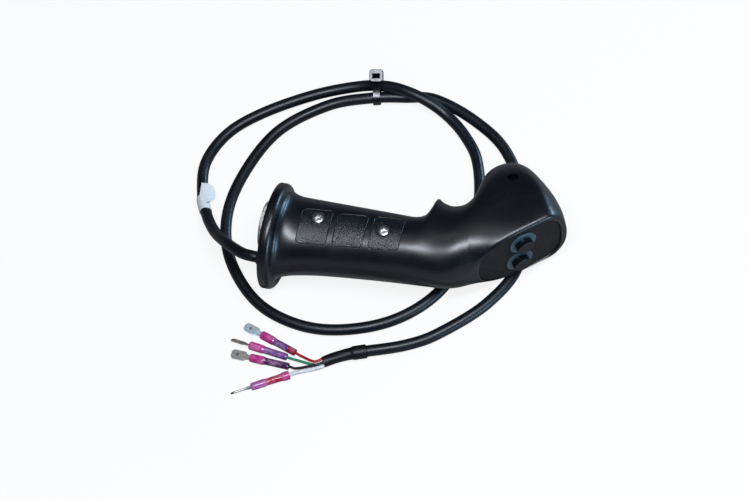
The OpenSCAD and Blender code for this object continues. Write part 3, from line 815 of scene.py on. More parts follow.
def place_camera(scene):
    """The camera, above the grip's left side and turned to the middle of the object."""
    right = VIEW_RIGHT.normalized()
    back = (VIEW_BACK - right * VIEW_BACK.dot(right)).normalized()
    up = back.cross(right)
    origin = Vector(at(0, 0)) * MM
    eye = origin + back * VIEW_DISTANCE
    aim = origin + right * AIM_RIGHT - up * AIM_DOWN
    forward = (aim - eye).normalized()
    across = forward.cross(up).normalized()
    above = across.cross(forward)
    camera = bpy.data.cameras.new("camera")
    camera.sensor_width, camera.lens = SENSOR, LENS
    camera.clip_start, camera.clip_end = 0.05, 20
    holder = linked("camera", camera)
    turn = Matrix((across, above, -forward)).transposed().to_4x4()
    holder.matrix_world = Matrix.Translation(eye) @ turn
    scene.camera = holder


class HANDGRIP_OT_stage(bpy.types.Operator):
    """Makes the floor, the lamps and the camera"""
    bl_idname = "handgrip.stage"
    bl_label = "Stage"

    def execute(self, context):
        context.scene.view_settings.view_transform = "Standard"
        light_world(context.scene)
        lay_floor()
        hang_lamps()
        place_camera(context.scene)
        return {"FINISHED"}


# ---------------------------------------------------------------- cable

FLOOR_Z = 3.6
CABLE_EXIT = at(-7.56, GLAND_Y)
SLEEVE_ROUTE = [(-14, -73.2, 4.5), (-22, -76.4, 4.5), (-30, -80.4, 4.2), (-38, -85.6, 3.9)]
CABLE_ROUTE = [CABLE_EXIT, (CABLE_EXIT[0] - 4, CABLE_EXIT[1], CABLE_EXIT[2])] + [
    (-100, -37, 31), (-112, -29.5, 25), (-124, -18.5, 15.5), (-134, -4.5, 8),
    (-142, 12, 3.8), (-146, 34, FLOOR_Z), (-138, 57, FLOOR_Z), (-120, 76, FLOOR_Z),
    (-92, 95, FLOOR_Z), (-66, 105.8, 5.2), (-48, 106.8, 10), (-34, 104.8, 11.8),
    (-20, 101.6, 10), (-6, 96.6, 5), (8, 85.5, FLOOR_Z), (20, 69, FLOOR_Z),
    (28, 40, FLOOR_Z), (28, 4, FLOOR_Z), (16, -29, FLOOR_Z), (-10, -53, FLOOR_Z),
    (-48, -64.5, FLOOR_Z), (-84, -57, FLOOR_Z), (-110, -33, FLOOR_Z), (-122, -4, FLOOR_Z),
    (-121, 28, FLOOR_Z), (-108, 64, FLOOR_Z), (-82, 89, FLOOR_Z), (-56, 99.2, 5.2),
    (-36, 104.8, FLOOR_Z), (-16, 107.2, FLOOR_Z), (12, 97, FLOOR_Z), (36, 79.5, FLOOR_Z),
    (54, 48, FLOOR_Z), (62, 6, FLOOR_Z), (50, -25, FLOOR_Z), (26, -51.5, FLOOR_Z),
    (8, -63.8, FLOOR_Z), (-13.95, -73.18, 4.5)]


class HANDGRIP_OT_cable(bpy.types.Operator):
    """Makes the looped cable, and finishes its stub inside the grip and its grommet"""
    bl_idname = "handgrip.cable"
    bl_label = "Cable"

    def execute(self, context):
        get = finishes()
        diameter = chosen("cable_diameter")
        line = smooth_line(CABLE_ROUTE, 10)
        cable = swept("jacketed_cable", line, diameter / 2, get("satin_jacket"), 24)
        dress(cable, get("satin_jacket"), "grip", ["cable"])
        dress_node("inner_cable", get("satin_jacket"))
        dress_node("cable_grommet", get("matte_rubber"))
        return {"FINISHED"}


# ---------------------------------------------------------------- leads and terminals

SLEEVE_D, SLEEVE_L, CRIMP_L = 4.4, 24.5, 8
TAB_FROM, TAB_W, TAB_L = 2.6, 6.3, 9.5      # a tab past its sleeve's end, its width and length
TAB_HOLE = SLEEVE_L + TAB_FROM + TAB_L - 4
PIN_L = 12.9                                # the pin's reach past its sleeve's end
ON_FLOOR = 0.06                             # the lowest that a soft piece may lie
# Each terminal: where its sleeve begins, its heading and its roll in degrees
TERMINALS = {
    "red": ((-56.6, -82.4, 2.4), 162, 8),
    "green": ((-60.6, -86.6, 3.0), 173, 52),
    "black": ((-58.0, -92.2, 2.4), 178, 0),
    "white": ((-56.0, -97.4, 2.4), 212, 0),
}
# Each lead: how far to the side and up it leaves the shrunk sleeve's mouth
LEADS = {"red": (-2, 0.8), "green": (-0.6, -1.1), "black": (0.6, 1.1), "white": (2, -0.8)}
MOUTH = Vector(SLEEVE_ROUTE[3])
MOUTH_WAY = (Vector(SLEEVE_ROUTE[3]) - Vector(SLEEVE_ROUTE[2])).normalized()
# The shrunk sleeve's widest radius, and its radius at shares of its way
COLLAR_R = 4.3
SHRUNK = ((0, 3.62), (0.01, COLLAR_R), (0.30, COLLAR_R), (0.37, 3.75), (0.6, 3.55),
          (0.93, 3.45), (1, 3.3))


def terminal_matrix(colour):
    """A terminal's frame: X along its sleeve from the lead, Z out of its flat side."""
    place, heading, roll = TERMINALS[colour]
    return (Matrix.Translation(place) @ Matrix.Rotation(math.radians(heading), 4, "Z")
            @ Matrix.Rotation(math.radians(roll), 4, "X"))


def lead_route(colour):
    """A lead's line from the shrunk sleeve's mouth to its crimp."""
    side, lift = LEADS[colour]
    across = UP.cross(MOUTH_WAY).normalized()
    start = MOUTH + MOUTH_WAY * 0.03 + across * side + Vector((0, 0, lift))
    place, heading, _ = TERMINALS[colour]
    end, heading = Vector(place), math.radians(heading)
    way = Vector((math.cos(heading), math.sin(heading), 0))
    points = [start, start + MOUTH_WAY * 5, end - way * 5, end,
              end + way * (SLEEVE_L - CRIMP_L - 0.05)]
    return smooth_line([tuple(p) for p in points], 12)


class HANDGRIP_OT_leads(bpy.types.Operator):
    """Makes the four coloured leads and the shrunk sleeve they come out of"""
    bl_idname = "handgrip.leads"
    bl_label = "Leads"

    def execute(self, context):
        get = finishes()
        dress(end_sleeve(), get("matte_rubber"), "grip", ["end_sleeve"])
        for colour in LEADS:
            width = chosen("white_lead_diameter" if colour == "white" else "lead_diameter")
            sheathing = get(colour + "_sheathing")
            line = lead_route(colour)
            lead = swept(colour + "_core", line, width / 2, sheathing, 16)
            dress(lead, sheathing, "grip", [colour + "_lead"])
        return {"FINISHED"}


def end_sleeve():
    """Heat-shrunk sleeve: a wide collar over the jacket, then drawn in over the leads."""
    line = smooth_line(SLEEVE_ROUTE, 16)
    rings = []
    for i, (p, s) in enumerate(zip(line, np.linspace(0, 1, len(line)))):
        way = travel(line, i)
        a = UP.cross(way).normalized()
        b = way.cross(a)
        radius = float(np.interp(s, *zip(*SHRUNK)))
        ring = []
        for w in circle(32):
            creases = 0.035 * math.sin(3 * w + 9 * s) * max(0, s - 0.3)
            crumple = 1 + creases + 0.02 * math.sin(5 * w - 14 * s) * s
            flat = 1 - 0.10 * s * abs(math.sin(w)) ** 2
            r = min(radius * crumple, COLLAR_R)
            q = Vector(p) + a * (r * math.cos(w)) + b * (r * flat * math.sin(w))
            ring.append((q.x, q.y, max(q.z, 0.12)))
        rings.append(ring)
    return loft("shrunk_sleeve", rings, 40)


def terminal_sleeve(colour):
    """Vinyl sleeve with a wide end over the crimp, and how far along it each point lies."""
    place = terminal_matrix(colour)
    thin, wide, wall = SLEEVE_D / 2, SLEEVE_D / 2 + 0.45, chosen("sleeve_wall")
    if colour == "white":
        profile = [(wide, 0.2), (wide + 0.1, 0.8), (wide + 0.05, 4.2), (thin + 0.1, 5.2),
                   (thin, 14.8), (thin + 0.3, 15.8), (thin + 0.2, 23.2), (thin - 0.1, 24.4)]
    else:
        profile = [(thin - 0.1, 0.0), (thin, 0.5), (thin, 14.6), (wide - 0.1, 15.6),
                   (wide, 16.4), (wide, 23.4), (wide - 0.15, 24.2), (wide - 0.4, SLEEVE_L)]
    radii, heights = zip(*profile)
    outer = [(float(np.interp(h, heights, radii)), float(h))
             for h in np.linspace(heights[0], heights[-1], 46)]
    inner = [(r - wall, h) for r, h in reversed(outer)]
    rings = [[(p.x, p.y, max(p.z, ON_FLOOR)) for p in ring]
             for ring in turned_rings(outer + inner, place @ Z_TO_X, 40)]
    piece = hoop(colour + "_vinyl_sleeve", rings, 50)
    back = place.inverted()
    along = piece.data.attributes.new("along", "FLOAT", "POINT")
    along.data.foreach_set("value", [
        min(1, max(0, (back @ (v.co / MM)).x / SLEEVE_L)) for v in piece.data.vertices])
    return piece


def pin_terminal():
    """Thin pin with a rounded tip and a seamed shoulder where it leaves the sleeve."""
    crimp = SLEEVE_L - CRIMP_L
    profile = [(1.2, crimp), (1.6, crimp + 0.3)]
    profile += [(radius, SLEEVE_L + past) for radius, past in (
        (1.6, -0.6), (1.05, 0.2), (1.0, 2.2), (0.72, 3.0), (0.64, 7.0), (0.66, 10.4),
        (0.60, 12.0), (0.36, 12.7), (0.1, PIN_L))]
    place = terminal_matrix("white")
    pin = turned("pin_terminal", profile, place @ Z_TO_X, 28, 40)
    low, high, half = SLEEVE_L - 1, SLEEVE_L + 2.6, 0.16
    outline = [(low, -half), (high, -half), (high, half), (low, half)]
    cut(pin, bar("seam", outline, 0.55, 2.5, place), sharp=40)
    pin.data.name = pin.name
    return pin


def tab_terminal(colour):
    """Push-on tab with bevelled edges and a detent dimple, on its crimp barrel."""
    place = terminal_matrix(colour)
    w, end = TAB_W / 2, TAB_L
    outline = [(0, -w + 0.9), (0.9, -w), (end - 1.5, -w), (end - 0.3, -w + 1.0),
               (end, -w + 1.6), (end, w - 1.6), (end - 0.3, w - 1.0), (end - 1.5, w),
               (0.9, w), (0, w - 0.9)]

    def drawn_in(inset, height):
        """The tab's outline at a height, drawn in for the bevel."""
        return (height, [
            (min(max(x, inset), end - inset) + SLEEVE_L + TAB_FROM,
             math.copysign(max(abs(y) - inset, 0.1), y)) for x, y in outline])
    tab = prism("tab", [drawn_in(0.35, -0.4), drawn_in(0.05, -0.2), drawn_in(0.05, 0.2),
                        drawn_in(0.35, 0.4)], place, 30)
    cut(tab, turned("dimple", [(0.5, 0.1), (0.75, 0.16), (0.85, 0.3), (0.9, 2)],
                    place @ Matrix.Translation((TAB_HOLE, 0, 0)), 32), sharp=30)
    low, high = SLEEVE_L - 0.6, SLEEVE_L + 3.2
    throat = bar("throat", [(low, -1.5), (high, -1.9), (high, 1.9), (low, 1.5)],
                 -0.3, 0.3, place, 30)
    crimp = SLEEVE_L - CRIMP_L
    barrel = turned("barrel", [(1.2, crimp), (1.6, crimp + 0.3), (1.6, SLEEVE_L - 0.3),
                               (1.3, SLEEVE_L + 0.4)], place @ Z_TO_X, 24)
    return join(colour + "_tab_terminal", [tab, throat, barrel], 30)


class HANDGRIP_OT_terminals(bpy.types.Operator):
    """Makes the terminals and their vinyl sleeves"""
    bl_idname = "handgrip.terminals"
    bl_label = "Terminals"

    def execute(self, context):
        get = finishes()
        for colour in TERMINALS:
            dress(terminal_sleeve(colour), get(colour + "_vinyl"), "grip",
                  [colour + "_terminal_sleeve"])
        for colour in ("red", "green", "black"):
            dress(tab_terminal(colour), get(colour + "_tab"), "grip",
                  [colour + "_terminal"])
        dress(pin_terminal(), get("pin_terminal"), "grip",
              ["white_terminal"])
        return {"FINISHED"}


# ---------------------------------------------------------------- tie and label

TIE_PLACE, TIE_TURN = Vector((-53, 103.7, 6.6)), math.radians(12)
TIE_STRANDS = ((11.5, 12.0), (29.0, 29.5))  # where the two strands pass, along the route
TIE_HALF, TIE_T = 2.35, 1.25                # half the band's width, and how far it stands out
HEAD_LEAN, HEAD_OUT, HEAD_UP = math.radians(25), 5.6, 5.0
SLOT_SHIFT = -0.45                          # the slot's place across the head
LABEL_AT, LABEL_STEP = 5.45, 19.2           # its place on the route, and millimetres a point
LABEL_SPAN, LABEL_L = (5.2, 5.7), 11.5


def strand(span):
    """The middle and the direction of the cable between two places on its route."""
    a, b = (Vector(curve_at(CABLE_ROUTE, u)) for u in span)
    return (a + b) / 2, (b - a).normalized()


def rounded_block(half_x, half_y, corner):
    """A rectangle's outline with rounded corners."""
    points = []
    for sx, sy, start in ((1, 1, 0), (-1, 1, 90), (-1, -1, 180), (1, -1, 270)):
        for w in (math.radians(start + 90 * j / 6) for j in range(7)):
            points.append((sx * (half_x - corner) + corner * math.cos(w),
                           sy * (half_y - corner) + corner * math.sin(w)))
    return points


def tie_band(place):
    """The strap round both strands, and the upper strand's middle in the tie's frame."""
    back = place.inverted()

    def centres(offset):
        found = []
        for span in TIE_STRANDS:
            middle, way = strand(span)
            m, d = back @ middle, back.to_3x3() @ way
            found.append(m + d * ((offset - m.z) / d.z))
        return found

    def outline(offset, grow):
        both, reach = centres(offset), CABLE_D / 2 + grow
        points = []
        for w in circle(96):
            d = Vector((math.cos(w), math.sin(w), 0))
            c = max(both, key=lambda q: q.x * d.x + q.y * d.y)
            points.append((c.x + reach * d.x, c.y + reach * d.y, offset))
        ring = [place @ Vector(p) for p in evenly(points + points[:1], 161)[:-1]]
        return [(p.x, p.y, max(p.z, ON_FLOOR)) for p in ring]
    profile = [(-TIE_HALF, 0.35), (-TIE_HALF, 1.0), (-TIE_HALF + 0.3, TIE_T),
               (TIE_HALF - 0.3, TIE_T), (TIE_HALF, 1.0), (TIE_HALF, 0.35),
               (TIE_HALF - 0.2, 0.2), (-TIE_HALF + 0.2, 0.2)]
    return hoop("band", [outline(*row) for row in profile], 40), centres(0)[0]


def cable_tie():
    """Nylon cable tie: its band, its head with slot, throat and pawl, and its cut end."""
    side = Vector((-math.sin(TIE_TURN), math.cos(TIE_TURN), 0))
    across = Vector((math.cos(TIE_TURN), math.sin(TIE_TURN), 0))
    place = Matrix.Translation(TIE_PLACE) @ Matrix((side, UP, across)).transposed().to_4x4()
    band, top = tie_band(place)
    out = Vector((math.cos(HEAD_LEAN), math.sin(HEAD_LEAN), 0))
    tangent = Vector((-math.sin(HEAD_LEAN), math.cos(HEAD_LEAN), 0))
    middle = top + out * HEAD_OUT + tangent * HEAD_UP
    # the head's frame: X along the strands, Y away from the strand, Z out of the slot
    head = place @ (Matrix.Translation(middle)
                    @ Matrix((UP, out, tangent)).transposed().to_4x4())

    def tilted(y, z, angle):
        return (head @ Matrix.Translation((0, y, z))
                @ Matrix.Rotation(math.radians(angle), 4, "X"))
    body = prism("head", [(height, rounded_block(*half)) for height, half in (
        (-2.6, (3.6, 3.2, 1.4)), (-2.3, (4.0, 3.6, 1.6)), (-1.2, (4.35, 3.95, 1.8)),
        (1.7, (4.35, 3.95, 1.8)), (2.2, (4.25, 3.85, 1.8)), (2.5, (3.95, 3.55, 1.7)))],
        head, 32)
    cut(body, bar("slot", rounded_block(2.5, 1.85, 0.3), -2.3, 3, tilted(SLOT_SHIFT, 0, 0)),
        sharp=32)
    throat = bar("throat", rounded_block(2.6, 2.1, 0.2), -0.7, -0.2,
                 tilted(SLOT_SHIFT, -0.9, 26), 32)
    pawl = prism("pawl", [(height, rounded_block(*half)) for height, half in (
        (-1.4, (2.0, 0.6, 0.2)), (1.0, (1.5, 0.25, 0.1)), (1.3, (1.4, 0.12, 0.05)))],
        tilted(-0.2, 0, -20), 32)
    # the strap's end comes down through the slot and was cut off past it
    tail = loft("tail", [
        [head @ Vector((x, y + t, z))
         for x, t in ((-2.3, -0.5), (2.3, -0.5), (2.3, 0.5), (-2.3, 0.5))]
        for z, y in ((-5.6, -3.3), (-3.4, -2.6), (-1.6, -1.7))], 30)
    return join("nylon_tie", [band, body, throat, pawl, tail], 32)


def label_wrap(a, b):
    """The label's turn round the cable, with slightly skewed ends."""
    count, rings, points = 40, 12, []
    for grow in (0.42, 0.16):
        for i in range(rings):
            share = i / (rings - 1)
            t = (share - 0.5) * LABEL_L
            slant = 1.2 * math.sin(2.4 * share)
            for w in circle(count):
                skew = t + 0.9 * math.cos(w - 0.6) * (1 if t > 0 else 0.6)
                near = Vector(curve_at(CABLE_ROUTE, LABEL_AT + skew / LABEL_STEP))
                r = CABLE_D / 2 + grow + 0.04 * math.sin(5 * w + slant)
                points.append(near + a * (r * math.cos(w)) + b * (r * math.sin(w)))
    inner = rings * count
    faces = ring_faces(rings, count) + ring_faces(rings, count, inner)
    for ring in (0, rings - 1):
        for k in range(count):
            p, q = ring * count + k, ring * count + (k + 1) % count
            faces.append((p, q, inner + q, inner + p))
    return outward(mesh_piece("wrap", points, faces, 40), 40)


def label_flag(toward, b):
    """A rounded leaf that leaves the wrap's upper side towards the loop's inside."""
    steps_u, steps_v, points = 16, 14, []
    for thick in (0.0, 0.22):
        for i in range(steps_u + 1):
            u = i / steps_u
            for j in range(steps_v + 1):
                v = 2 * j / steps_v - 1
                reach = 9.6 * (1 - abs(v) ** 2.2) ** 0.55 + 0.01
                x = -1.6 * (1 - abs(v)) + u * reach
                y = v * 8.2 + 1.2 * u - 0.5
                rise = 0.35 * math.sin(max(0.0, min(1.0, x / 6)) * math.pi * 0.5)
                lift = 3.74 + rise - 0.035 * x * x
                near = Vector(curve_at(CABLE_ROUTE, LABEL_AT + 0.30 + y / LABEL_STEP))
                points.append(near + toward * x + b * (lift + thick))
    m = steps_v + 1
    n = (steps_u + 1) * m
    faces = []
    for i in range(steps_u):
        for j in range(steps_v):
            p = i * m + j
            faces.append((p, p + 1, p + m + 1, p + m))
            faces.append((n + p, n + p + m, n + p + m + 1, n + p + 1))
    edge = (list(range(m)) + [i * m + steps_v for i in range(1, steps_u + 1)]
            + [steps_u * m + j for j in range(steps_v - 1, -1, -1)]
            + [i * m for i in range(steps_u - 1, 0, -1)])
    for p, q in zip(edge, edge[1:] + edge[:1]):
        faces.append((p, q, n + q, n + p))
    return outward(mesh_piece("flag", points, faces, 50), 50)


def label():
    """Blank paper label: wrapped once round the cable, its end standing off as a flag."""
    way = strand(LABEL_SPAN)[1]
    a = UP.cross(way).normalized()
    b = way.cross(a)
    return join("paper_label", [label_wrap(a, b), label_flag(-a if a.x < 0 else a, b)], 45)


class HANDGRIP_OT_tie(bpy.types.Operator):
    """Makes the cable tie with its head, pawl and cut end, and the blank label"""
    bl_idname = "handgrip.tie"
    bl_label = "Cable tie and label"

    def execute(self, context):
        get = finishes()
        dress(cable_tie(), get("moulded_nylon"), "grip", ["cable_tie"])
        dress(label(), get("plain_paper"), "grip", ["cable_label"])
        return {"FINISHED"}


# ---------------------------------------------------------------- housing

LEDGE_X, LEDGE_Y, HANDLE_FRONT = 91.5, 43.4, 27
HALF_W, HALF_HEAD = 21, 26
WALL, LIP_H, PLATE_T, LEDGE_T, LEDGE_W = 2.6, 1.2, 3, 2.4, 2.2
SCREWS, SCREW_SEAT = ((26.4, 7.4), (67.2, 7.0)), 17.4
HEAD_SCREW = (134, 59)
ADAPTER_AF, ADAPTER_TURN = 29, math.radians(38)


def plate_point(t, h):
    c, s = math.cos(PLATE_ANGLE), math.sin(PLATE_ANGLE)
    return (PLATE_X + t * c + h * s, PLATE_Y + t * s - h * c)


# Each section: front edge, rear edge, half width, squareness, lean
SECTIONS = np.array([(*front, *rear, half, square, lean) for front, rear, half, square, lean in (
    ((0, 29.6), (0, -27.5), 27.5, 2, 0),
    ((4.4, 29.3), (4.4, -26.6), 26, 2, 0),
    ((6.8, 28.3), (6.8, -24.8), HALF_W + 2.7, 2, 0),
    ((10.8, HANDLE_FRONT + 0.4), (10.8, -23.1), HALF_W + 1.2, 2, 0),
    ((17, HANDLE_FRONT), (17, -21.1), HALF_W + 0.3, 2.1, 0),
    ((30, HANDLE_FRONT), (30, -18.6), HALF_W, 2.1, 0),
    ((50, HANDLE_FRONT), (50, -16), HALF_W, 2.1, 0),
    ((70, HANDLE_FRONT), (70, -13.9), HALF_W, 2.1, 0),
    ((82, HANDLE_FRONT + 0.2), (82, -12.9), HALF_W, 2.1, 0),
    ((88, 30.6), (87.5, -12.5), HALF_W, 2.1, 0),
    ((90.2, 37.4), (90.5, -12.4), HALF_W, 2.1, 0),
    ((LEDGE_X, LEDGE_Y), (93, -12.3), HALF_W, 2.1, 0),
    ((LEDGE_X + 4, LEDGE_Y - 2.2), (97, -12.1), HALF_W, 2.1, 0),
    ((102, LEDGE_Y - 3.8), (103.5, -11.7), HALF_W + 0.6, 2.1, 0),
    ((109, LEDGE_Y - 1.2), (110, -10.2), HALF_W + 1.6, 2.1, 0.03),
    ((113, 48.6), (116, -7.4), HALF_HEAD - 3, 2.2, 0.08),
    ((113.8, 56.5), plate_point(-29, 3), HALF_HEAD - 2.6, 2.3, 0.16),
    ((115, 64.5), plate_point(-20, 9), HALF_HEAD - 2.4, 2.4, 0.24),
    ((118.8, 71.2), plate_point(-9, 14), HALF_HEAD - 2.2, 2.5, 0.32),
    ((124.8, 75.7), plate_point(2, 16), HALF_HEAD - 2.5, 2.5, 0.35),
    ((131.2, LOBE_Y), plate_point(11, 17), HALF_HEAD - 2.5, 2.5, 0.35),
    ((139.2, 74.9), plate_point(18.5, 16), HALF_HEAD - 2.9, 2.4, 0.33),
    ((148.4, 68.4), plate_point(23.5, 14), HALF_HEAD - 6.6, 2.4, 0.28),
    ((157.2, 60.6), plate_point(26.8, 11), HALF_HEAD - 10.8, 2.3, 0.2),
    ((164.3, 52.6), plate_point(28.7, 7), HALF_HEAD - 16.6, 2.2, 0.1),
    ((168.4, 46.4), plate_point(30, 3.4), 3, 2, 0))])


PLAIN = SECTIONS.copy()                     # the same form without the finger ledge
for row, front in ((9, (87.2, 28.3)), (10, (90, 29.6)), (11, (92.8, 31.4)),
                   (12, (97, 34.2)), (13, (102.6, 37.6))):
    PLAIN[row, 0:2] = front
LEDGE = SECTIONS[:, 0:2] - PLAIN[:, 0:2]


def section_at(u):
    """A section of the grip, smoothed, and how far its front edge stands out as the ledge."""
    reach = 0.36 * min(1.0, max(0.0, (u - 5) / 2)) * min(1.0, max(0.0, (24.5 - u) / 2))
    if reach < 0.02:
        return curve_at(PLAIN, u), curve_at(LEDGE, u)
    steps = np.linspace(-2, 2, 9)
    weights = np.exp(-steps**2 / 2)
    rows = np.array([curve_at(PLAIN, min(25, u + reach * k)) for k in steps])
    row = (rows * weights[:, None]).sum(axis=0) / weights.sum()
    row[0:2] = curve_at(PLAIN, u)[0:2]      # the front edge keeps its own line
    return row, curve_at(LEDGE, u)


# How many points each half section has on its side, on the rounded edge and on the flat
SIDE_POINTS, BEND_POINTS, FLAT_POINTS = 44, 9, 9


def half_outline(row, ledge, inset, plane, rounding):
    """Left half of a section, cut off at a height above the plate's plane and rounded there."""
    front, rear = row[0:2], row[2:4]
    span = float(np.linalg.norm(front - rear))
    middle, power = (front + rear) / 2, 2 / row[5]
    reach = (front - rear) / 2 * (1 - 2 * inset / span)
    way = (rear - front) / span
    across = np.array([-way[1], way[0]])
    a = np.linspace(0, math.pi, 481)
    c = np.cos(a)
    q = middle + reach * (np.sign(c) * np.abs(c) ** power)[:, None]
    z = (row[4] - inset) * np.abs(np.sin(a)) ** power * (1 - row[6] * c)
    q = q + (((1 + c) / 2) ** 3)[:, None] * ledge
    s = (q - front) @ way
    off = (q - front) @ across
    z[0] = z[-1] = 0
    normal = np.array([math.sin(PLATE_ANGLE), -math.cos(PLATE_ANGLE)])
    h = (q - np.array([PLATE_X, PLATE_Y])) @ normal
    line = np.stack([s, z, off], axis=1)
    if h[-1] > plane:
        k = int(np.argmax(h > plane))
        t = (plane - h[k - 1]) / (h[k] - h[k - 1])
        line = np.vstack([line[:k], line[k - 1] + (line[k] - line[k - 1]) * t])
    corner = line[-1]
    steps = np.r_[0, np.cumsum(np.linalg.norm(np.diff(line, axis=0), axis=1))]
    depth = min(rounding, 0.55 * corner[1], 0.3 * steps[-1])
    start, before = (np.array([np.interp(steps[-1] - d, steps, line[:, k]) for k in (0, 1, 2)])
                     for d in (depth, depth + 0.2))
    sides = np.vstack([line[steps < steps[-1] - depth], start])
    tangent = (start - before) / max(float(np.linalg.norm(start - before)), 1e-9)
    bent = corner
    if tangent[0] > 0.15 and depth > 0.05:
        t = min((corner[0] - start[0]) / tangent[0], 1.6 * depth)
        bent = np.array([corner[0], start[1] + tangent[1] * t, corner[2]])
    low = np.array([corner[0], max(corner[1] - depth, 0), corner[2]])
    foot = np.array([low[0], 0, low[2]])
    curve = [(1 - t) ** 2 * start + 2 * t * (1 - t) * bent + t * t * low
             for t in np.linspace(0, 1, BEND_POINTS + 1)[1:]]
    drop = [low + (foot - low) * t for t in np.linspace(0, 1, FLAT_POINTS + 1)[1:]]
    return [np.array([*(front + way * p[0] + across * p[2]), p[1]])
            for p in evenly(sides, SIDE_POINTS) + curve + drop]


def half_form(name, inset, first, last, plane, rounding, steps, lead=(), floor=0.0):
    """Left half of the grip's form between two sections, in the grip's own frame."""
    rings = [half_outline(row, np.zeros(2), inset, plane, rounding) for row in lead]
    count = round((last - first) * steps)
    rings += [half_outline(*section_at(first + (last - first) * i / count), inset, plane, rounding)
              for i in range(count + 1)]
    if floor:
        rings = [[np.array([*ring[0][:2], floor])] + ring + [np.array([*ring[-1][:2], floor])]
                 for ring in rings]
    return loft(name, rings, 30)


def rim_rows():
    """The flange's edge: a thin disc with a well rounded front."""
    rows = [(-FLANGE_BACK, FLANGE_R - 0.8), (-FLANGE_BACK + 0.25, FLANGE_R - 0.28),
            (-FLANGE_BACK + 0.8, FLANGE_R), (FLANGE_FRONT - RIM_ROUND - 0.2, FLANGE_R)]
    for w in (math.radians(90 * k / 9) for k in range(10)):
        rows.append((FLANGE_FRONT - RIM_ROUND + RIM_ROUND * math.sin(w),
                     FLANGE_R - RIM_ROUND + RIM_ROUND * math.cos(w)))
    return [np.array([x, r, x, -r, r, 2, 0]) for x, r in rows]


def plate_outline(grow):
    """The button plate's oval, squarer at its upper end, grown by a margin."""
    points = []
    for w in circle(120):
        c, s = math.cos(w), math.sin(w)
        power = 2 / 3.2 if c > 0 else 2 / 2.6
        points.append((math.copysign(abs(c) ** power, c) * (27.5 + grow) - 0.9,
                       math.copysign(abs(s) ** power, s) * (22.6 + grow) * (1 + 0.06 * c)))
    return points


def upright(x, y, z=0.0):
    return Matrix.Translation((x, y, z))


def cable_passage():
    """The round way of the cable's end through the grip."""
    line = smooth_line([(4, GLAND_Y, 0), (8, GLAND_Y, 0), (18, -15.9, 0), (27, -13.3, 0),
                        (39, -9.2, 0)], 5)
    rings, radius = [], CABLE_D / 2 + 0.25
    for i, p in enumerate(line):
        across = UP.cross(travel(line, i)).normalized()
        rings.append([Vector(p) + across * (radius * math.cos(w)) + UP * (radius * math.sin(w))
                      for w in circle(32)])
    return loft("passage", rings)


def half_shell(side):
    """One half of the housing, hollow, with its recesses; side is 1 for left, -1 for right."""
    shell = half_form("shell", 0, 1, 25, LIP_H, chosen("lip_round"), 8, rim_rows())
    hollow = half_form("hollow", WALL, 5.25, 23.4, -PLATE_T - LEDGE_T, 0.6, 3, floor=-0.5)
    for place, radius in ((SCREWS[1], 6.7), (HEAD_SCREW, 4.95)):
        cut(hollow, rod("boss", radius, -2, 44, upright(*place)))
    cut(shell, hollow)
    plate = upright(GRIP_MID_X, GRIP_MID_Y, -AXIS_Z) @ plate_matrix()
    seat = [(-PLATE_T - 0.05, 0.25), (LIP_H - 0.7, 0.3), (LIP_H - 0.25, 0.5),
            (LIP_H + 0.02, 0.95), (LIP_H + 3, 4)]
    cut(shell, prism("seat", [(height, plate_outline(grow)) for height, grow in seat], plate))
    cut(shell, bar("window", plate_outline(-LEDGE_W), -PLATE_T - LEDGE_T - 5, -1, plate))
    cut(shell, bar("pocket", hexagon(ADAPTER_AF + 0.5, ADAPTER_TURN * side), 0, 25.3,
                   upright(-FLANGE_BACK - 1, ADAPTER_Y) @ Z_TO_X))
    cut(shell, rod("gland", 4.8, -4, 6.2, upright(0, GLAND_Y) @ Z_TO_X))
    cut(shell, cable_passage())
    for place, shank in ((SCREWS[0], 2.25), (SCREWS[1], 2.25), (HEAD_SCREW, 1.7)):
        cut(shell, rod("hole", shank, -1, 40, upright(*place)))
    if side > 0:
        bore = [(4.9, SCREW_SEAT), (4.9, 20.2), (5.3, 21.4), (6.4, 23), (6.4, 40)]
        for place in SCREWS:
            cut(shell, turned("counterbore", bore, upright(*place), 96))
        cut(shell, rod("head_hole", 3.25, 6, 40, upright(*HEAD_SCREW), 64))
    else:
        for place, flats, low in ((SCREWS[0], 7.3, 13.5), (SCREWS[1], 7.3, 13.5),
                                  (HEAD_SCREW, 5.8, 9.6)):
            cut(shell, bar("nut_pocket", hexagon(flats), low, 40, upright(*place)))
    for vertex in shell.data.vertices:
        x, y, z = vertex.co / MM
        vertex.co = Vector(at(x, y, side * (z + SHELL_GAP))) * MM
    shell.name = "left_half" if side > 0 else "right_half"
    shell.data.name = shell.name
    return outward(shell, 32)


class HANDGRIP_OT_housing(bpy.types.Operator):
    """Makes the two moulded halves of the grip"""
    bl_idname = "handgrip.housing"
    bl_label = "Housing"

    def execute(self, context):
        plastic = finishes()("satin_shell_plastic")
        dress(half_shell(1), plastic, "grip", ["left_shell"])
        dress(half_shell(-1), plastic, "grip", ["right_shell"])
        return {"FINISHED"}


# ---------------------------------------------------------------- plate and buttons

BUTTON_AT = {"left": (1.6, 9.2), "right": (-1.6, -9.2)}     # each button's place on the plate
SPRING_LOW, SPRING_HIGH = -8.6, -3.0        # the wire's ends under the plate's face
SPRING_R, SPRING_WIRE, SPRING_TURNS = 4.2, 0.35, 5
TURN_STEPS = 16                             # points on one turn of the wire


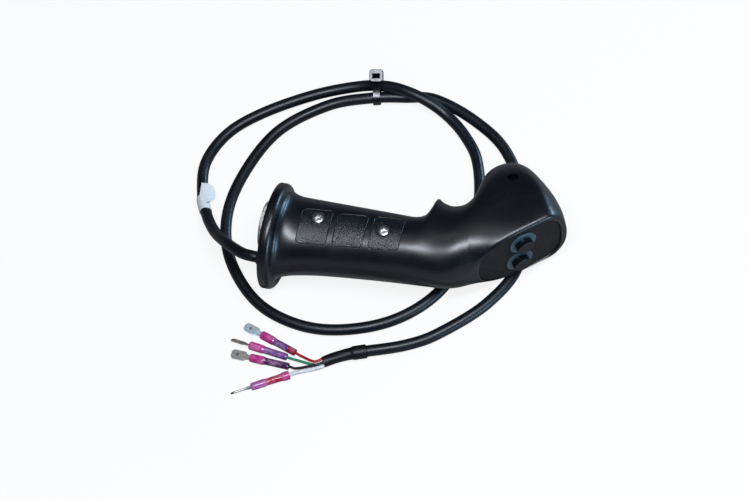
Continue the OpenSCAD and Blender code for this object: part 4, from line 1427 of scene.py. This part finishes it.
def return_spring(side, material):
    """A button's coil spring, under its cap."""
    x, y = BUTTON_AT[side]
    count = SPRING_TURNS * TURN_STEPS
    line = []
    for k in range(count + 1):
        w = 2 * math.pi * k / TURN_STEPS
        line.append(tuple(plate_matrix() @ Vector((
            x + SPRING_R * math.cos(w), y + SPRING_R * math.sin(w),
            SPRING_LOW + (SPRING_HIGH - SPRING_LOW) * k / count))))
    spring = swept(side + "_coil_spring", line, SPRING_WIRE, material, 10)
    dress(spring, material, "grip", [side + "_spring"])
    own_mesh(spring)


class HANDGRIP_OT_buttons(bpy.types.Operator):
    """Finishes the button plate, the bezels, the caps and what is under them"""
    bl_idname = "handgrip.buttons"
    bl_label = "Button plate and buttons"

    def execute(self, context):
        get = finishes()
        dress_node("face_plate", get("matte_plate_plastic"))
        for side in BUTTON_AT:
            for part, finish in (
                    ("bezel", "bezel_coating"), ("cap", "button_cap_plastic"),
                    ("stem", "ivory_plastic"), ("switch", "switch_housing"),
                    ("pins", "rolled_brass"), ("nut", "zinc_plating"),
                    ("washer", "matte_rubber")):
                dress_node(side + "_" + part, get(finish))
            return_spring(side, get("spring_wire"))
        return {"FINISHED"}


# ---------------------------------------------------------------- fasteners and base

class HANDGRIP_OT_fasteners(bpy.types.Operator):
    """Makes the button-head screws of the handle and finishes the other fasteners"""
    bl_idname = "handgrip.fasteners"
    bl_label = "Fasteners"

    def execute(self, context):
        get = finishes()
        radius, socket = chosen("screw_head") / 2, chosen("screw_socket")
        dome = [(2, -34.2), (2, 0.0), (radius - 0.25, 0.0), (radius, 0.25), (radius, 0.6)]
        dome += [(radius - 1.75 * (1 - math.cos(w)) - 0.2 * w, 0.6 + 1.6 * math.sin(w))
                 for w in (math.radians(15 * k) for k in range(1, 7))]
        here = Matrix.Identity(4)
        screw = turned("screw", dome, here, 96, 40)
        cut(screw, prism("socket", [(0.75, hexagon(socket)), (1.9, hexagon(socket)),
                                    (2.35, hexagon(socket + 0.5))], here), sharp=40)
        seat = SCREW_SEAT + SHELL_GAP + 0.02
        screws = placed("button_head_screws", [at(x, y, seat) for x, y in SCREWS], screw,
                        get("zinc_plating"), 40)
        dress(screws, get("zinc_plating"), "grip", ["handle_screws"])
        dress_node("head_screw", get("black_oxide"))
        dress_node("shell_nuts", get("zinc_plating"))
        return {"FINISHED"}


PROUD = 1.3                                 # how far the bevelled end stands out of its solid
ADAPTER_L, ADAPTER_ROUND, NECK_R = 26.0, 17.0, 12.5
THREAD_DEEP, THREAD_PITCH, THREAD_MINOR, THREAD_H = 23.0, 1.75, 5.1, 0.55


def lever_adapter():
    """Hexagon adapter with chamfered ends, a neck and a threaded bore."""
    start = at(-FLANGE_BACK - ADAPTER_OUT - PROUD, ADAPTER_Y)
    sides, steps = 144, 96
    half, total = ADAPTER_AF / 2, ADAPTER_L + PROUD
    # along the adapter: the largest radius that the hexagon's corners may have
    outer = [(0.0, half), (0.2, 14.9), (0.45, 15.3), (0.75, 15.7), (1.1, 16.1), (1.5, 16.5),
             (2.0, ADAPTER_ROUND), (PROUD + 12.9, ADAPTER_ROUND), (PROUD + 13.0, NECK_R),
             (PROUD + 16.8, NECK_R), (PROUD + 16.9, ADAPTER_ROUND),
             (total - 0.8, ADAPTER_ROUND), (total, 15.9)]

    def hexagonal(w):
        """The hexagon's radius at an angle from -Z towards Y."""
        return half / math.cos(((w - ADAPTER_TURN) % (math.pi / 3)) - math.pi / 6)

    def threaded(x, w):
        """The thread's radius: a V that climbs one pitch a turn, opened at the mouth."""
        phase = (x / THREAD_PITCH + w / (2 * math.pi)) % 1.0
        crest = THREAD_MINOR + THREAD_H * (1 - abs(2 * phase - 1))
        return crest + max(0.0, 0.8 - x) * 0.9

    def rings(rows):
        """Rings of points from pairs of a place along the axis and its radius."""
        return [(start[0] + x, start[1] + r(w) * math.sin(w), start[2] - r(w) * math.cos(w))
                for x, r in rows for w in circle(sides)]
    skin = [(x, lambda w, most=most: min(hexagonal(w), most)) for x, most in outer]
    skin.append((total, lambda w: 0.02))
    bore = [(23.3, lambda w: 0.02), (23.2, lambda w: THREAD_MINOR)]
    for x in (THREAD_DEEP * (1 - i / steps) for i in range(steps + 1)):
        bore.append((x, lambda w, x=x: threaded(x, w)))
    skip = len(skin) * sides
    faces = (ring_faces(len(skin), sides) + ring_faces(len(bore), sides, skip)
             + bridge(skip + (len(bore) - 1) * sides, sides)
             + [tuple(range(skip - sides, skip)), tuple(range(skip, skip + sides))])
    return outward(mesh_piece("hexagon_adapter", rings(skin) + rings(bore), faces, 30), 30)


class HANDGRIP_OT_base(bpy.types.Operator):
    """Makes the threaded hexagon adapter in the flange"""
    bl_idname = "handgrip.base"
    bl_label = "Lever adapter"

    def execute(self, context):
        steel = finishes()("turned_steel")
        dress(lever_adapter(), steel, "grip", ["lever_adapter"])
        return {"FINISHED"}


# ---------------------------------------------------------------- panel

class HANDGRIP_PT_panel(bpy.types.Panel):
    """Lists the handgrip's pieces and their sizes and colours"""
    bl_idname = "HANDGRIP_PT_panel"
    bl_label = "Handgrip"
    bl_space_type = "VIEW_3D"
    bl_region_type = "UI"
    bl_category = "Handgrip"

    def draw(self, context):
        layout = self.layout
        for title, group in (("Sizes", context.scene.handgrip_sizes),
                             ("Colours", context.scene.handgrip_colours)):
            box = layout.box()
            box.label(text=title)
            for name in group.__annotations__:
                box.prop(group, name)
        for operator in OPERATORS:
            layout.operator(operator.bl_idname)


OPERATORS = (
    HANDGRIP_OT_stage, HANDGRIP_OT_cable, HANDGRIP_OT_leads, HANDGRIP_OT_terminals, HANDGRIP_OT_tie,
    HANDGRIP_OT_housing, HANDGRIP_OT_buttons, HANDGRIP_OT_fasteners, HANDGRIP_OT_base)
CLASSES = (HandgripSizes, HandgripColours, *OPERATORS, HANDGRIP_PT_panel)


def register():
    for cls in CLASSES:
        bpy.utils.register_class(cls)
    bpy.types.Scene.handgrip_sizes = PointerProperty(type=HandgripSizes)
    bpy.types.Scene.handgrip_colours = PointerProperty(type=HandgripColours)


def unregister():
    del bpy.types.Scene.handgrip_colours
    del bpy.types.Scene.handgrip_sizes
    for cls in reversed(CLASSES):
        bpy.utils.unregister_class(cls)


def main():
    register()
    for operator in OPERATORS:
        group, name = operator.bl_idname.split(".")
        getattr(getattr(bpy.ops, group), name)()


if __name__ == "__main__":
    main()
